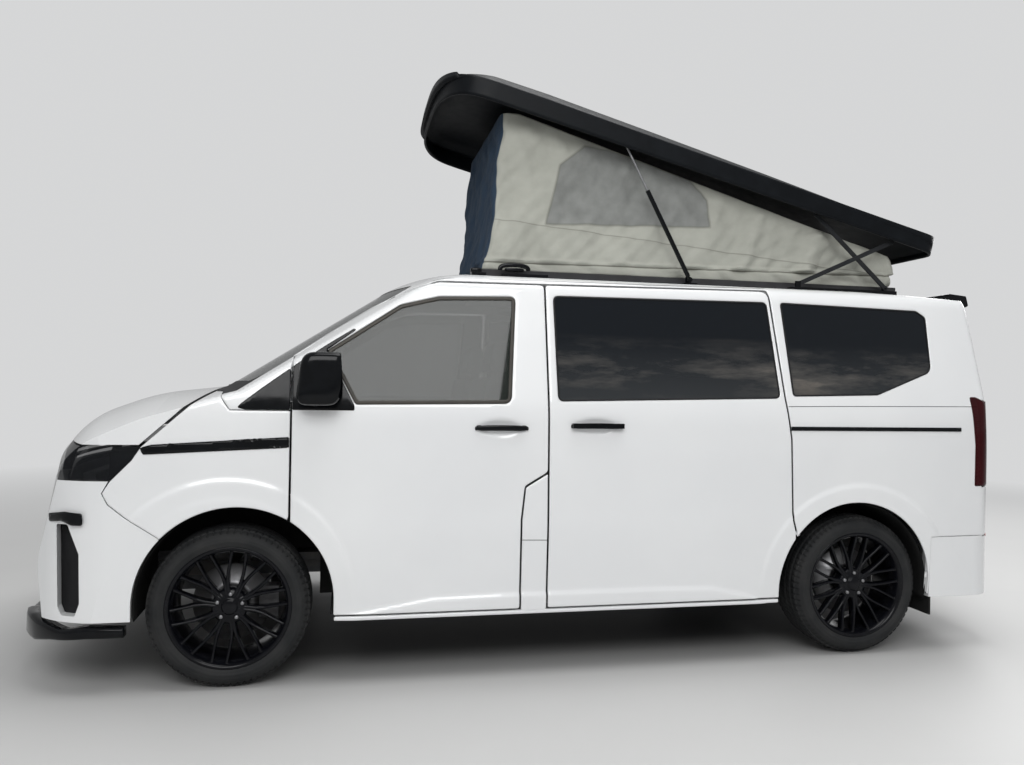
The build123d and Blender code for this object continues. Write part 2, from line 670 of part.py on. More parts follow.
def build_lifting_roof():
    profile = [(-2104, shell_edge), (-2085, 2030), (-1975, 2092), (-1000, 2122), (400, 2140), (720, 2112),
               (897, 2040), (830, shell_edge)]
    profile_radii = [0, 30, 250, 3000, 900, 200, 50, 0]
    arch = [(shell_half_width, shell_edge - 10), (shell_half_width, shell_ridge), shell_shoulder, (0, shell_crown)]
    arch = arch + [(-y, z) for y, z in reversed(arch[:-1])]
    arch_radii = [0, 22, 60, 2600, 60, 22, 0]
    nose = [(-2110, -shell_half_width), (690, -shell_half_width), (822, -480), (900, -170)]
    nose = nose + [(x, -y) for x, y in reversed(nose)]
    nose_radii = [100, 130, 300, 420, 420, 300, 130, 100]

    def shell_form(depth):
        """The closed roof's outer form, its surface moved inwards by the depth and its foot down."""
        side = inset(profile, depth)
        section = inset(arch, depth)
        for outline_points, foot in ((side, shell_edge), (section, shell_edge - 10)):
            outline_points[0] = (outline_points[0][0], foot - depth)
            outline_points[-1] = (outline_points[-1][0], foot - depth)
        form = side_prism(side, -shell_half_width, shell_half_width, reduced(profile_radii, side, depth))
        form = form & front_prism(section, -2200, 1000, reduced(arch_radii, section, depth))
        return form & plan_prism(inset(nose, depth), 1800, 2300, reduced(nose_radii, nose, depth))

    shell = shell_form(0) - shell_form(shell_wall)
    reach = shell_half_width - shell_wall
    boss = rod_y(*arm_tip_closed, arm_plane - 12, reach + 4, pivot_pin)
    shell = shell + boss + mirrored(boss)
    save("roof_shell", raise_roof(shell))

    eye = pivot_pin + seat_gap
    arm = bar(arm_foot, arm_tip_raised, arm_plane)
    arm = arm - rod_y(*arm_foot, 500, 700, eye) - rod_y(*arm_tip_raised, 500, 700, eye)
    save("lift_arms", both(arm))
    stay = bar(stay_foot, stay_tip, stay_plane) - rod_y(*stay_foot, 500, 700, eye)
    save("stay_arms", both(stay))

    direction = Vector(strut_top[0] - strut_foot[0], 0, strut_top[1] - strut_foot[1])
    length = direction.length
    direction = direction / length

    def along(distance):
        return (strut_foot[0] + direction.X * distance, strut_plane, strut_foot[1] + direction.Z * distance)

    bore = 6.6
    cylinder = rod(along(18), along(530), 12) - rod(along(120), along(560), bore)
    cylinder = cylinder + rod_y(*strut_foot, strut_plane - 6, strut_plane + 6, 14)
    cylinder = cylinder + rod(along(8), along(24), 8)
    cylinder = cylinder - rod_y(*strut_foot, 500, 700, eye)
    save("strut_cylinders", both(cylinder))
    piston = rod(along(385), along(length - 10), bore - seat_gap)
    piston = piston + rod_y(*strut_top, strut_plane - 6, strut_plane + 6, 12)
    piston = piston - rod_y(*strut_top, 500, 700, 6.3)
    save("strut_rods", both(piston))

    front_top, rear_top = (304, 2782), (-2040, 2132)
    walls = [(-2040, frame_top + seat_gap), rear_top, front_top, (344, 2238), (383, 2042), (410, frame_top + seat_gap)]
    cloth = side_prism(walls, -canvas_half_width, canvas_half_width)
    inside = inset(walls, canvas_wall)
    inside[0] = (inside[0][0], frame_top - 40)
    inside[-1] = (inside[-1][0], frame_top - 40)
    inside[1] = (inside[1][0], inside[1][1] + 60)
    inside[2] = (inside[2][0], inside[2][1] + 60)
    cloth = cloth - side_prism(inside, -canvas_half_width + canvas_wall, canvas_half_width - canvas_wall)
    save("canvas", cloth)

    outer_edge = canvas_half_width + 13
    inner_edge = canvas_half_width - 22
    ring = block(-2046, 424, -outer_edge, outer_edge, 1800, frame_top)
    ring = ring - block(-2026, 394, -inner_edge, inner_edge, 1790, frame_top + seat_gap)
    ring = ring - outer(0)
    save("roof_frame", largest(ring))

    mount = block(-1990, -1330, 600, 646, 1800, 1933)
    mount = mount + block(-1955, -1923, 600, 606, 1900, 1968) + block(-1391, -1359, 631, 638, 1900, 1968)
    mount = mount + rod_y(*arm_foot, 600, arm_plane + 7, pivot_pin)
    mount = mount + rod_y(*stay_foot, stay_plane - 6, 638, pivot_pin)
    foot = block(-770, -700, 600, 646, 1800, 1930)
    foot = foot + block(-752, -720, 600, 606, 1900, 1966) + rod_y(*strut_foot, 600, strut_plane + 8, pivot_pin)
    latch = block(60, 300, 585, 640, 1800, 1938) + block(385, 460, 585, 625, 1800, 1940)
    piece = Compound(children=[*(mount - outer(0)).solids(), *(foot - outer(0)).solids(),
                               *(latch - outer(0)).solids()])
    save("roof_brackets", both(piece))


def build_trim():
    for side, name in ((1, "left"), (-1, "right")):
        head = side_prism([(1094, 1262), (1104, 1476), (1190, 1496), (1285, 1446), (1300, 1300), (1238, 1234)],
                          mirror_inside, mirror_outside, [30, 24, 60, 60, 60, 40])
        head = head & plan_prism([(1090, mirror_inside), (1098, mirror_outside - 8), (1170, mirror_outside),
                                  (1262, mirror_outside - 34), (1304, mirror_inside + 34), (1304, mirror_inside)],
                                 1200, 1520, [0, 10, 60, 40, 20, 0])
        stem = block(1150, 1226, 940, mirror_inside + 20, 1248, 1292)
        mirror_piece = head + stem
        mirror_piece = mirror_piece - outer(0)
        mirror_piece = largest(mirror_piece)
        handle = block(241, 489, 1020, 1034, 1148, 1172)
        handle = handle + block(241, 275, 995, 1034, 1150, 1170) + block(455, 489, 995, 1034, 1150, 1170)
        handle = largest(handle - outer(0))
        pieces = Compound(children=[mirror_piece, handle])
        save(f"door_trim_{name}", pieces if side > 0 else mirrored(pieces))
    handle = block(-231, 25, 1020, 1034, 1160, 1184)
    handle = handle + block(-231, -197, 995, 1034, 1162, 1182) + block(-9, 25, 995, 1034, 1162, 1182)
    handle = largest(handle - outer(0))
    rail = side_prism([(-2118, 1154), (-1128, 1154), (-1128, 1174), (-2118, 1174)], 900, 1100) & outer(-4)
    save("sliding_door_trim", [handle, *(rail - outer(0)).solids()])
    wing = side_prism([(-2290, 1890), (-2285, 1925), (-2400, 1915), (-2415, 1860), (-2395, 1850), (-2340, 1870)],
                      -700, 700, 8)
    save("spoiler", largest(wing - outer(0)))


build_doors()
build_sides()
build_nose()
build_roof()
build_tail()
build_floor()
build_wheels()
build_machinery()
build_inside()
build_lifting_roof()
build_trim()
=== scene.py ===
import math

import bmesh
import bpy
import numpy as np
from mathutils import Matrix, Vector
from mathutils.geometry import delaunay_2d_cdt


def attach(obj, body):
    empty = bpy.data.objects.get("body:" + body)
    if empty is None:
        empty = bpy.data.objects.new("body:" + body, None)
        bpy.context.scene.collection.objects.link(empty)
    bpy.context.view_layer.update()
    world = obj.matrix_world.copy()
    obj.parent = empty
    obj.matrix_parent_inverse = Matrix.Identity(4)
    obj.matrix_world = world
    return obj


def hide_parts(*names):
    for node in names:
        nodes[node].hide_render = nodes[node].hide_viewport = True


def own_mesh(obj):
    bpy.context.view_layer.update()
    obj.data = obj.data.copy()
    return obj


# Camper van with a lifting roof. Frame: X forward, Y to the van's left, Z up, metres.

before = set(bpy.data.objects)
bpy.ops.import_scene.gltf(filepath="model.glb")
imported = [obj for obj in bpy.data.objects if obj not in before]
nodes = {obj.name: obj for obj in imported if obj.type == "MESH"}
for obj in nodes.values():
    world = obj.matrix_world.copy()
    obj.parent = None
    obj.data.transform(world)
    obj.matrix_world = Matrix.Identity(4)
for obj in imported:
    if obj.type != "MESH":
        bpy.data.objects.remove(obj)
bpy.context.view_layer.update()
print("frame loaded:", len(nodes), "nodes")


# Meshes

# A mesh object from whole arrays: points is n by 3, faces is a list of arrays with 3 or 4 columns.
def meshObject(name, points, faces, smooth=True):
    mesh = bpy.data.meshes.new(name)
    points = np.asarray(points, np.float32).reshape(-1, 3)
    faces = [np.asarray(f, np.int32) for f in faces if len(f)]
    loops = np.concatenate([f.ravel() for f in faces])
    sizes = np.concatenate([np.full(len(f), f.shape[1], np.int32) for f in faces])
    mesh.vertices.add(len(points))
    mesh.vertices.foreach_set("co", points.ravel())
    mesh.loops.add(len(loops))
    mesh.loops.foreach_set("vertex_index", loops)
    mesh.polygons.add(len(sizes))
    mesh.polygons.foreach_set("loop_start", np.concatenate([[0], np.cumsum(sizes)[:-1]]).astype(np.int32))
    mesh.polygons.foreach_set("loop_total", sizes)
    mesh.polygons.foreach_set("use_smooth", np.full(len(sizes), smooth))
    mesh.update(calc_edges=True)
    mesh.validate()
    item = bpy.data.objects.new(name, mesh)
    bpy.context.scene.collection.objects.link(item)
    return item


# Quads between the rows and columns of a grid, closed round either way if asked.
def gridQuads(rows, columns, aroundRows=False, aroundColumns=False):
    index = np.arange(rows * columns).reshape(rows, columns)
    if aroundRows:
        index = np.vstack([index, index[:1]])
    if aroundColumns:
        index = np.hstack([index, index[:, :1]])
    return np.stack([index[:-1, :-1], index[1:, :-1], index[1:, 1:], index[:-1, 1:]], -1).reshape(-1, 4)


# Angles evenly spaced round a full turn.
def circle(count):
    return np.linspace(0, 2 * math.pi, count, endpoint=False)


# Unit vectors along a path, at each of its points.
def headings(path):
    lead = np.gradient(path, axis=0)
    return lead / np.linalg.norm(lead, axis=1)[:, None]


# Shaders

# A node socket that can stand in a sum: each operator adds one Math node.
class Wire:
    def __init__(self, finish, socket):
        self.finish = finish
        self.socket = socket

    def maths(self, operation, *others, clamp=False):
        settings = {"operation": operation, "use_clamp": clamp}
        return self.finish.node("ShaderNodeMath", settings, dict(enumerate((self, *others))))

    def __add__(self, other):
        return self.maths("ADD", other)

    def __sub__(self, other):
        return self.maths("SUBTRACT", other)

    def __mul__(self, other):
        return self.maths("MULTIPLY", other)

    def __truediv__(self, other):
        return self.maths("DIVIDE", other)

    # 0 below low, 1 above high, straight between
    def between(self, low, high):
        return ((self - low) / (high - low)).maths("ADD", 0, clamp=True)


# One material, or the world, and the nodes in it.
class Finish:
    def __init__(self, name, owner=None):
        self.owner = owner or bpy.data.materials.new(name)
        self.owner.use_nodes = True
        self.tree = self.owner.node_tree
        self.tree.nodes.clear()

    # Adds a node: its settings first, then its sockets' values or links. Gives the output asked for.
    def node(self, kind, settings=None, sockets=None, output=0):
        made = self.tree.nodes.new(kind)
        for key, value in (settings or {}).items():
            setattr(made, key, value)
        for key, value in (sockets or {}).items():
            if isinstance(value, Wire):
                self.tree.links.new(value.socket, made.inputs[key])
            elif made.inputs[key].type == "RGBA":
                made.inputs[key].default_value = (*value, 1)
            else:
                made.inputs[key].default_value = value
        return Wire(self, made.outputs[output]) if len(made.outputs) else None

    def place(self):
        return self.node("ShaderNodeTexCoord", output="Object")

    # the object's own coordinate along one axis
    def along(self, axis):
        return self.node("ShaderNodeSeparateXYZ", sockets={"Vector": self.place()}, output=axis)

    # a sine wave along each axis
    def waves(self, pitch):
        return [(self.along(axis) * (2 * math.pi / pitch)).maths("SINE") for axis in ("X", "Y", "Z")]

    def noise(self, scale, detail, stretch=(1, 1, 1), roughness=0.55):
        place = self.node("ShaderNodeMapping", sockets={"Vector": self.place(), "Scale": stretch})
        sockets = {"Vector": place, "Scale": scale, "Detail": detail, "Roughness": roughness}
        return self.node("ShaderNodeTexNoise", sockets=sockets)

    def mix(self, share, first, second):
        return self.node("ShaderNodeMix", {"data_type": "RGBA"}, {0: share, 6: first, 7: second}, output=2)

    def bump(self, height, distance, strength, normal=None):
        sockets = {"Height": height, "Distance": distance, "Strength": strength}
        if normal:
            sockets["Normal"] = normal
        return self.node("ShaderNodeBump", sockets=sockets)

    # edges rounded in the shading, for solids that keep their sharp corners
    def softEdge(self, radius):
        return self.node("ShaderNodeBevel", {"samples": 4}, {"Radius": radius})

    def surface(self, sockets):
        shader = self.node("ShaderNodeBsdfPrincipled", sockets=sockets)
        self.node("ShaderNodeOutputMaterial", sockets={"Surface": shader})
        return self.owner


# Kinds of coat. Clouds are a noise's scale and detail and the limits of the share it gives; they mix two
# tones, the second being the first times "tone" where no other is given, and roughen the surface by "rub".
# The grain is a finer noise's scale and detail, and the bump's distance and strength.
coats = {
    "paint": {"clouds": (1.3, 3, 0.35, 0.65), "rub": 0, "grain": (420, 2, 0.00012, 0.12), "edge": 0.003},
    "undercoat": {"clouds": (9, 6, 0.45, 0.7), "rub": 0.2, "grain": (160, 3, 0.0006, 0.5), "edge": 0.002},
    "plastic": {"clouds": (14, 5, 0.4, 0.8), "rub": 0.12, "tone": 1.5, "grain": (900, 2, 0.0002, 0.5),
                "edge": 0.002, "specular": 0.25},
    "gloss": {"clouds": (22, 4, 0.4, 0.75), "rub": 0.08, "tone": 1.7, "grain": (60, 2, 0.0002, 0.1),
              "edge": 0.0025, "specular": 0.2},
    "metal": {"clouds": (30, 5, 0.35, 0.75), "rub": 0.15, "tone": 0.72, "grain": (700, 2, 0.0002, 0.3),
              "edge": 0.0015},
    "rubber": {"clouds": (7, 6, 0.35, 0.75), "rub": 0.15, "grain": (500, 2, 0.0003, 0.6), "specular": 0.25},
    "glass": {"clouds": (3, 4, 0.3, 0.8), "rub": 0.02, "tone": 1.5},
    "lens": {"clouds": (8, 3, 0.3, 0.8), "rub": 0.03, "tone": 1.4, "specular": 0.2},
}


# A material with a coat of one kind. Further sockets, such as Alpha, go to the shader as they are.
def coated(kind, name, base, roughness, second=None, fine=None, specular=None, **sockets):
    coat = coats[kind]
    finish = Finish(name)
    scale, detail, low, high = coat["clouds"]
    cloud = finish.noise(scale, detail).between(low, high)
    sockets["Base Color"] = finish.mix(cloud, base, second or tuple(v * coat["tone"] for v in base))
    sockets["Roughness"] = cloud * coat["rub"] + roughness
    sockets["Specular IOR Level"] = specular or coat.get("specular", 0.5)
    if "grain" in coat:
        scale, detail, distance, strength = coat["grain"]
        edge = finish.softEdge(coat["edge"]) if "edge" in coat else None
        sockets["Normal"] = finish.bump(finish.noise(scale, detail), fine or distance, strength, edge)
    return finish.surface(sockets)


# Dark panes with a painted reflection: lighter low in the pane, where clouds stand for the sky the real ones
# mirror, with a painted glint among them; the top stays near black.
def privacyGlass():
    look = {"deep": (0.004, 0.006, 0.009), "low": (0.030, 0.033, 0.036), "sky": (0.095, 0.090, 0.084),
            "glint_reflection": (0.26, 0.22, 0.18)}
    pane = Finish("privacy glass")
    height = pane.along("Z")
    reflection_band = height.between(1.62, 1.44) * height.between(1.28, 1.40)
    cloud = pane.noise(3.4, 7, (0.55, 1, 2.6), 0.62)
    # painted reflection: the colour lightens towards the bottom, then takes clouds of sky and a warm glint in a
    # band
    colour = pane.mix(height.between(1.60, 1.30), look["deep"], look["low"])
    colour = pane.mix(cloud.between(0.46, 0.66) * reflection_band, colour, look["sky"])
    colour = pane.mix(cloud.between(0.60, 0.80) * reflection_band * 0.5, colour, look["glint_reflection"])
    return pane.surface({"Base Color": colour, "Roughness": 0.03, "Alpha": 0.96, "Specular IOR Level": 0.3})


# Cloth with a weave of sine waves one pitch apart.
def wovenCloth(name, light, dark, pitch):
    cloth = Finish(name)
    x, y, z = cloth.waves(pitch)
    colour = cloth.mix(cloth.noise(5, 6).between(0.3, 0.75), light, dark)
    threads = cloth.bump(x * y * 0.3 + x * z * 0.5 + 0.5, pitch * 0.2, 0.5)
    return cloth.surface({"Base Color": colour, "Roughness": 0.9, "Normal": threads, "Sheen Weight": 0.15})


finishes = {
    "white_paint": coated("paint", "white paint", (0.80, 0.81, 0.815), 0.32, (0.765, 0.775, 0.785),
                          **{"Coat Weight": 1.0, "Coat Roughness": 0.04}),
    "body_frame": coated("undercoat", "undercoated steel", (0.09, 0.095, 0.10), 0.6, (0.16, 0.15, 0.14)),
    "black_plastic": coated("plastic", "grained black plastic", (0.010, 0.010, 0.011), 0.55),
    "gloss_black": coated("gloss", "gloss black paint", (0.0025, 0.003, 0.0038), 0.10),
    "roof_black": coated("plastic", "satin black roof", (0.0040, 0.0050, 0.0064), 0.40, fine=0.0001, specular=0.12),
    "clear_glass": coated("glass", "lightly tinted glass", (0.012, 0.016, 0.013), 0.02, Alpha=0.66),
    "dark_glass": privacyGlass(),
    "lamp_lens": coated("lens", "smoked lamp cover", (0.012, 0.013, 0.015), 0.04, Alpha=0.55),
    "red_lens": coated("lens", "smoked red lamp cover", (0.030, 0.0015, 0.003), 0.04, Alpha=0.96),
    "tyre": coated("rubber", "tyre rubber", (0.012, 0.013, 0.014), 0.62, (0.030, 0.030, 0.030)),
    "wheel_black": coated("gloss", "wheel black", (0.003, 0.0032, 0.0045), 0.14),
    "steel": coated("metal", "worn steel", (0.32, 0.32, 0.33), 0.38, Metallic=0.9),
    "cast": coated("metal", "cast iron", (0.13, 0.13, 0.135), 0.6, Metallic=0.6),
    "aluminium": coated("metal", "bare aluminium", (0.62, 0.63, 0.65), 0.35, Metallic=1.0),
    "arm_grey": coated("plastic", "grey arm paint", (0.014, 0.015, 0.017), 0.42, fine=0.0001),
    "canvas": wovenCloth("roof canvas", (0.30, 0.31, 0.29), (0.24, 0.25, 0.235), 0.003),
    "trim_dark": coated("plastic", "soft dark trim", (0.03, 0.03, 0.032), 0.65, fine=0.0004),
    "seat_fabric": wovenCloth("seat cloth", (0.09, 0.09, 0.095), (0.05, 0.05, 0.055), 0.0025),
    "cabinet": coated("plastic", "cabinet board", (0.24, 0.24, 0.24), 0.45, fine=0.0001),
    "liner_felt": coated("plastic", "arch felt", (0.012, 0.012, 0.012), 0.9, fine=0.0012),
    "frame_bronze": coated("plastic", "window frame", (0.040, 0.036, 0.030), 0.35, fine=0.0001),
    "seam": coated("plastic", "seam shadow", (0.03, 0.03, 0.03), 0.8, fine=0.0001),
    "mirror": coated("metal", "mirror glass", (0.80, 0.81, 0.82), 0.03, Metallic=1.0),
    "reflector": coated("lens", "red reflector", (0.30, 0.006, 0.008), 0.15, Alpha=1.0),
    # felt darkened to near black as painted shade in the wheel arches
    "arch_liner_shade": coated("plastic", "arch shadow black", (0.006, 0.006, 0.006), 0.95, fine=0.001),
}
print("finishes made:", len(finishes))

for node in nodes.values():
    for place in node.material_slots:
        place.material = finishes[place.material.name]


# Cloth of the lifting roof. Lines and outlines are in X and Z; the front line's rows are height and X.

tent = {
    "rear": -2.034,
    "halfWidth": 0.541,
    "corner": 0.045,
    "foot": 1.968,
    "frontLine": [(1.966, 0.405), (2.042, 0.381), (2.238, 0.344), (2.782, 0.304)],
    "rearTop": (-2.034, 2.142),
    "frontTop": (0.304, 2.800),
    "window": [(0.052, 2.223), (-0.020, 2.542), (-0.157, 2.654), (-0.298, 2.643), (-0.763, 2.512),
               (-0.866, 2.408), (-0.880, 2.254)],
    "seam": ((-1.377, 2.088), (0.344, 2.238)),
    "flap": ((-1.440, 2.027), (0.382, 2.008)),
    "folds": 0.0115,
    "billow": 0.012,
    "cloth": 0.0016,
    "columns": 760,
    "rows": 92,
}


# Soft folds: a sum of cosine waves whose crests lie near one direction, sharpened by a power.
def foldField(a, b, direction, spread, waves, seed):
    pick = np.random.default_rng(seed)
    total = np.zeros_like(a)
    for length in waves:
        turn = direction + pick.normal(0, spread)
        along, across = a * math.cos(turn) + b * math.sin(turn), b * math.cos(turn) - a * math.sin(turn)
        bend = 0.35 * length * np.cos(along * 2.1 / length ** 0.5 + pick.uniform(0, 6.28))
        wave = np.cos(2 * math.pi * (across + bend) / length + pick.uniform(0, 6.28))
        total += np.sign(wave) * np.abs(wave) ** 0.8 * length / max(waves)
    return total


# Distance from points to a closed outline, above zero inside it.
def insideDistance(a, b, outline):
    corners = np.vstack([outline, outline[:1]])
    nearest = np.full(a.shape, 9.0)
    crossings = np.zeros(a.shape, int)
    for (x1, z1), (x2, z2) in zip(corners[:-1], corners[1:]):
        share = np.clip(((a - x1) * (x2 - x1) + (b - z1) * (z2 - z1)) / ((x2 - x1) ** 2 + (z2 - z1) ** 2), 0, 1)
        nearest = np.minimum(nearest, np.hypot(a - x1 - share * (x2 - x1), b - z1 - share * (z2 - z1)))
        level = np.where(z2 == z1, 1e-9, z2 - z1)
        crossings += ((z1 > b) != (z2 > b)) & (a < x1 + (b - z1) * (x2 - x1) / level)
    return np.where(crossings % 2 == 1, nearest, -nearest)


# Height at x of the straight line through p and q.
def lineAt(p, q, x):
    return p[1] + (x - p[0]) * (q[1] - p[1]) / (q[0] - p[0])


# A number per point, which the finish reads by its name.
def setAttribute(item, name, values):
    layer = item.data.attributes.new(name, "FLOAT", "POINT")
    layer.data.foreach_set("value", np.asarray(values, np.float32).ravel())


# The tent's wall: a loop round a rectangle with round corners, carried from the frame up to the sloping roof.
# Each point moves along the wall's normal by the folds.
def makeCanvas():
    across, r = tent["halfWidth"], tent["corner"]
    heights, fronts = np.array(tent["frontLine"]).T
    rear, front = tent["rear"], fronts[0]
    straight, width, arc = front - rear - 2 * r, 2 * across - 2 * r, math.pi / 2 * r
    walk = np.linspace(0, 1, tent["columns"], endpoint=False) * (2 * straight + 2 * width + 4 * arc)
    x, y, nx, ny = np.zeros((4, len(walk)))
    start = 0.0
    legs = [(straight, (rear + r, across), (1, 0)), (arc, (front - r, across - r), 90),
            (width, (front, across - r), (0, -1)), (arc, (front - r, -across + r), 0),
            (straight, (front - r, -across), (-1, 0)), (arc, (rear + r, -across + r), -90),
            (width, (rear, -across + r), (0, 1)), (arc, (rear + r, across - r), 180)]
    for length, place, way in legs:
        here = (walk >= start) & (walk < start + length)
        run = walk[here] - start
        if isinstance(way, tuple):
            x[here], y[here] = place[0] + way[0] * run, place[1] + way[1] * run
            nx[here], ny[here] = -way[1], way[0]
        else:
            turn = np.radians(way) - run / r
            x[here], y[here] = place[0] + r * np.cos(turn), place[1] + r * np.sin(turn)
            nx[here], ny[here] = np.cos(turn), np.sin(turn)
        start += length
    share = np.linspace(0, 1, tent["rows"])[:, None]
    reach = (x - rear) / (front - rear)
    top = lineAt(tent["rearTop"], tent["frontTop"], np.minimum(x, tent["frontTop"][0]))
    z = tent["foot"] + (top - tent["foot"]) * share
    lean = np.interp(z, heights, fronts) - front
    xs = x + lean * reach
    ys = np.broadcast_to(y, z.shape)
    flat = np.abs(ny) > 0.5
    seamGap = z - lineAt(*tent["seam"], xs)
    flapGap = z - lineAt(*tent["flap"], xs)
    along = np.broadcast_to(walk, z.shape)
    upright = foldField(along, z, 1.45, 0.22, (0.31, 0.19, 0.12, 0.075), 3)
    slanting = foldField(along, z, 2.25, 0.18, (0.34, 0.21, 0.13, 0.08), 8)
    lower = foldField(along, z, 0.75, 0.25, (0.22, 0.13, 0.08), 5)
    rearShare = np.clip((-0.55 - xs) / 0.7, 0, 1)
    low = np.clip((-flapGap + 0.012) / 0.012, 0, 1)
    folds = (upright * 0.75 * (1 - rearShare) + slanting * 1.15 * rearShare) * (1 - low) + lower * 0.9 * low
    calm = np.minimum(1, 9 * share * (1 - share) + 0.12)
    windowGap = insideDistance(xs, z, tent["window"])
    billow = tent["billow"] * np.sin(math.pi * share) * np.sin(math.pi * np.clip(reach, 0, 1))
    edge = np.exp(-(windowGap / 0.010) ** 2) * flat
    move = tent["folds"] * folds * calm + billow - 0.006
    move += 0.003 * np.exp(-(seamGap / 0.005) ** 2) - 0.005 * np.exp(-(flapGap / 0.006) ** 2)
    move += 0.007 * np.clip(1 - np.abs(flapGap - 0.014) / 0.012, 0, 1) + 0.0012 * edge
    points = np.stack([xs + nx * move, ys + ny * move, np.broadcast_to(z, xs.shape)], -1)
    canvas = meshObject("canvas_walls", points, [gridQuads(*z.shape, aroundColumns=True)[:, ::-1]])
    setAttribute(canvas, "windowGap", np.where(flat, windowGap, -1))
    setAttribute(canvas, "seamGap", seamGap)
    setAttribute(canvas, "flapGap", flapGap)
    setAttribute(canvas, "frontShare", np.broadcast_to(nx, z.shape))
    canvas.data.materials.append(canvasCloth())
    thicken(canvas, tent["cloth"])
    area = float(((top - tent["foot"]) * np.gradient(walk)).sum()) * 1.02
    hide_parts("canvas")
    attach(canvas, "body")
    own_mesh(canvas)


# The canvas: mesh in the window, stitched borders along it and the seam, a painted shadow line under the flap,
# and painted shade on the front, in dark navy.
def canvasCloth():
    look = {"light": (0.440, 0.445, 0.395), "dark": (0.370, 0.375, 0.332), "mesh": (0.270, 0.278, 0.266),
            "front_painted_shade": (0.020, 0.042, 0.075), "line": (0.15, 0.15, 0.125), "pitch": 0.0022}
    cloth = Finish("roof canvas walls")
    window, seam, flap, front = (cloth.node("ShaderNodeAttribute", {"attribute_name": name}, output="Fac")
                                 for name in ("windowGap", "seamGap", "flapGap", "frontShare"))
    cloud = cloth.noise(4.5, 6, (1, 1, 1.6), 0.62).between(0.32, 0.72)
    base = cloth.mix(cloud, look["light"], look["dark"])
    mottle = cloth.noise(11, 5).between(0.3, 0.75)
    netting = cloth.mix(mottle, look["mesh"], tuple(v * 0.72 for v in look["mesh"]))
    base = cloth.mix(window.between(-0.0005, 0.0015), base, netting)
    rim, thread, shadow = (gap.maths("ABSOLUTE") for gap in (window, seam, flap))
    border = rim.between(0.0085, 0.0065) * 0.35 + rim.between(0.002, 0.001) * 0.3
    # the stitched seam line, and a painted shadow line under the flap, both in the line colour
    stitches_and_flap_shadow = thread.between(0.004, 0.002) * 0.45 + shadow.between(0.006, 0.002) * 0.95
    base = cloth.mix(border.maths("ADD", stitches_and_flap_shadow, clamp=True), base, look["line"])
    # painted shade: the faces turned forward take a dark navy
    base = cloth.mix(front.between(0.72, 0.80), base, look["front_painted_shade"])
    x, y, z = cloth.waves(look["pitch"])
    crinkle = cloth.bump(cloth.noise(26, 7, (1, 1, 0.8), 0.6), 0.004, 0.5)
    normal = cloth.bump((x + y) * z, 0.0004, 0.4, crinkle)
    return cloth.surface({"Base Color": base, "Roughness": cloud * 0.08 + 0.84, "Normal": normal})


# A wall for an open surface; offset -1 puts it behind the faces.
def thicken(item, depth, offset=-1):
    wall = item.modifiers.new("wall", "SOLIDIFY")
    wall.thickness, wall.offset = depth, offset
    wall.use_even_offset = False


# Surfaces of revolution about the wheel's axle, along Y. A profile is rows of radius and place along the axle;
# a point is (r cos a, y, r sin a) about the wheel's centre. Left wheels face +Y, right ones are mirrored.

wheelSites = {
    "front_left": (1.574, 0.870, 1), "front_right": (1.574, -0.870, -1),
    "rear_left": (-1.526, 0.870, 1), "rear_right": (-1.526, -0.870, -1),
}
wheel = {
    "height": 0.356,
    "tyreRadius": 0.3555,
    "tyreHalf": 0.1265,
    "bead": 0.262,
    "crown": 0.094,
    "turns": 720,
    "blocks": 72,
    "groove": 0.0065,
    "grooves": (-0.066, -0.024, 0.024, 0.066),
    "treadFrom": 0.325,
    "ringsFrom": 0.272,
    "ringPitch": 0.0175,
    "spokes": 10,
    "face": 0.101,
}


# The points and faces of a profile turned about the axle.
def turned(profile, turns, closed=True):
    profile = np.asarray(profile, float)
    angle = circle(turns)[:, None]
    r, y = profile[None, :, 0], profile[None, :, 1]
    points = np.stack([r * np.cos(angle), np.broadcast_to(y, (turns, len(profile))), r * np.sin(angle)], -1)
    return points.reshape(-1, 3), gridQuads(turns, len(profile), True, closed)


# Joins several lots of points and faces into one.
def joined(parts):
    points, faces, count = [], [], 0
    for p, f in parts:
        points.append(p.reshape(-1, 3))
        faces.append(f + count)
        count += len(points[-1])
    return np.concatenate(points), faces


# Welds points nearer than weld, fills holes of up to fill sides and turns the faces outwards. Then it turns
# the faces that picked gives round.
def mended(item, weld=0, fill=0, picked=None):
    mesh = bmesh.new()
    mesh.from_mesh(item.data)
    if weld:
        bmesh.ops.remove_doubles(mesh, verts=mesh.verts, dist=weld)
    if fill:
        bmesh.ops.holes_fill(mesh, edges=[e for e in mesh.edges if e.is_boundary], sides=fill)
    bmesh.ops.recalc_face_normals(mesh, faces=mesh.faces)
    if picked:
        bmesh.ops.reverse_faces(mesh, faces=picked(mesh.faces))
    mesh.to_mesh(item.data)
    mesh.free()
    return item


# Finish, body and replaced nodes of a piece.
def finishPiece(item, slot, body, replaced=(), look=None):
    item.data.materials.append(finishes[look or slot])
    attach(item, body)
    if replaced:
        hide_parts(*replaced)


# A piece made of open surfaces with a wall. Facing 1 or -1 turns the faces to the left or the right.
def panelPiece(name, parts, wall, slot, body, replaced=(), look=None, facing=0, offset=-1):
    item = meshObject(name, *joined(parts))
    if facing:
        mended(item, picked=lambda faces: [f for f in faces if f.normal.y * facing < 0])
    if wall:
        thicken(item, wall, offset)
    finishPiece(item, slot, body, replaced, look)


# A gloss black piece made of closed bodies.
def solidPiece(name, parts, body, replaced=(), fill=0):
    finishPiece(mended(meshObject(name, *joined(parts)), 0.0002, fill), "gloss_black", body, replaced)


# A piece of one wheel, from parts about the axle.
def wheelPiece(name, parts, site, slot, replaced=()):
    x, y, side = wheelSites[site]
    points, faces = joined(parts)
    item = mended(meshObject(name, points * (1, side, 1) + (x, y, wheel["height"]), faces))
    finishPiece(item, slot, f"wheel_{site}", replaced)


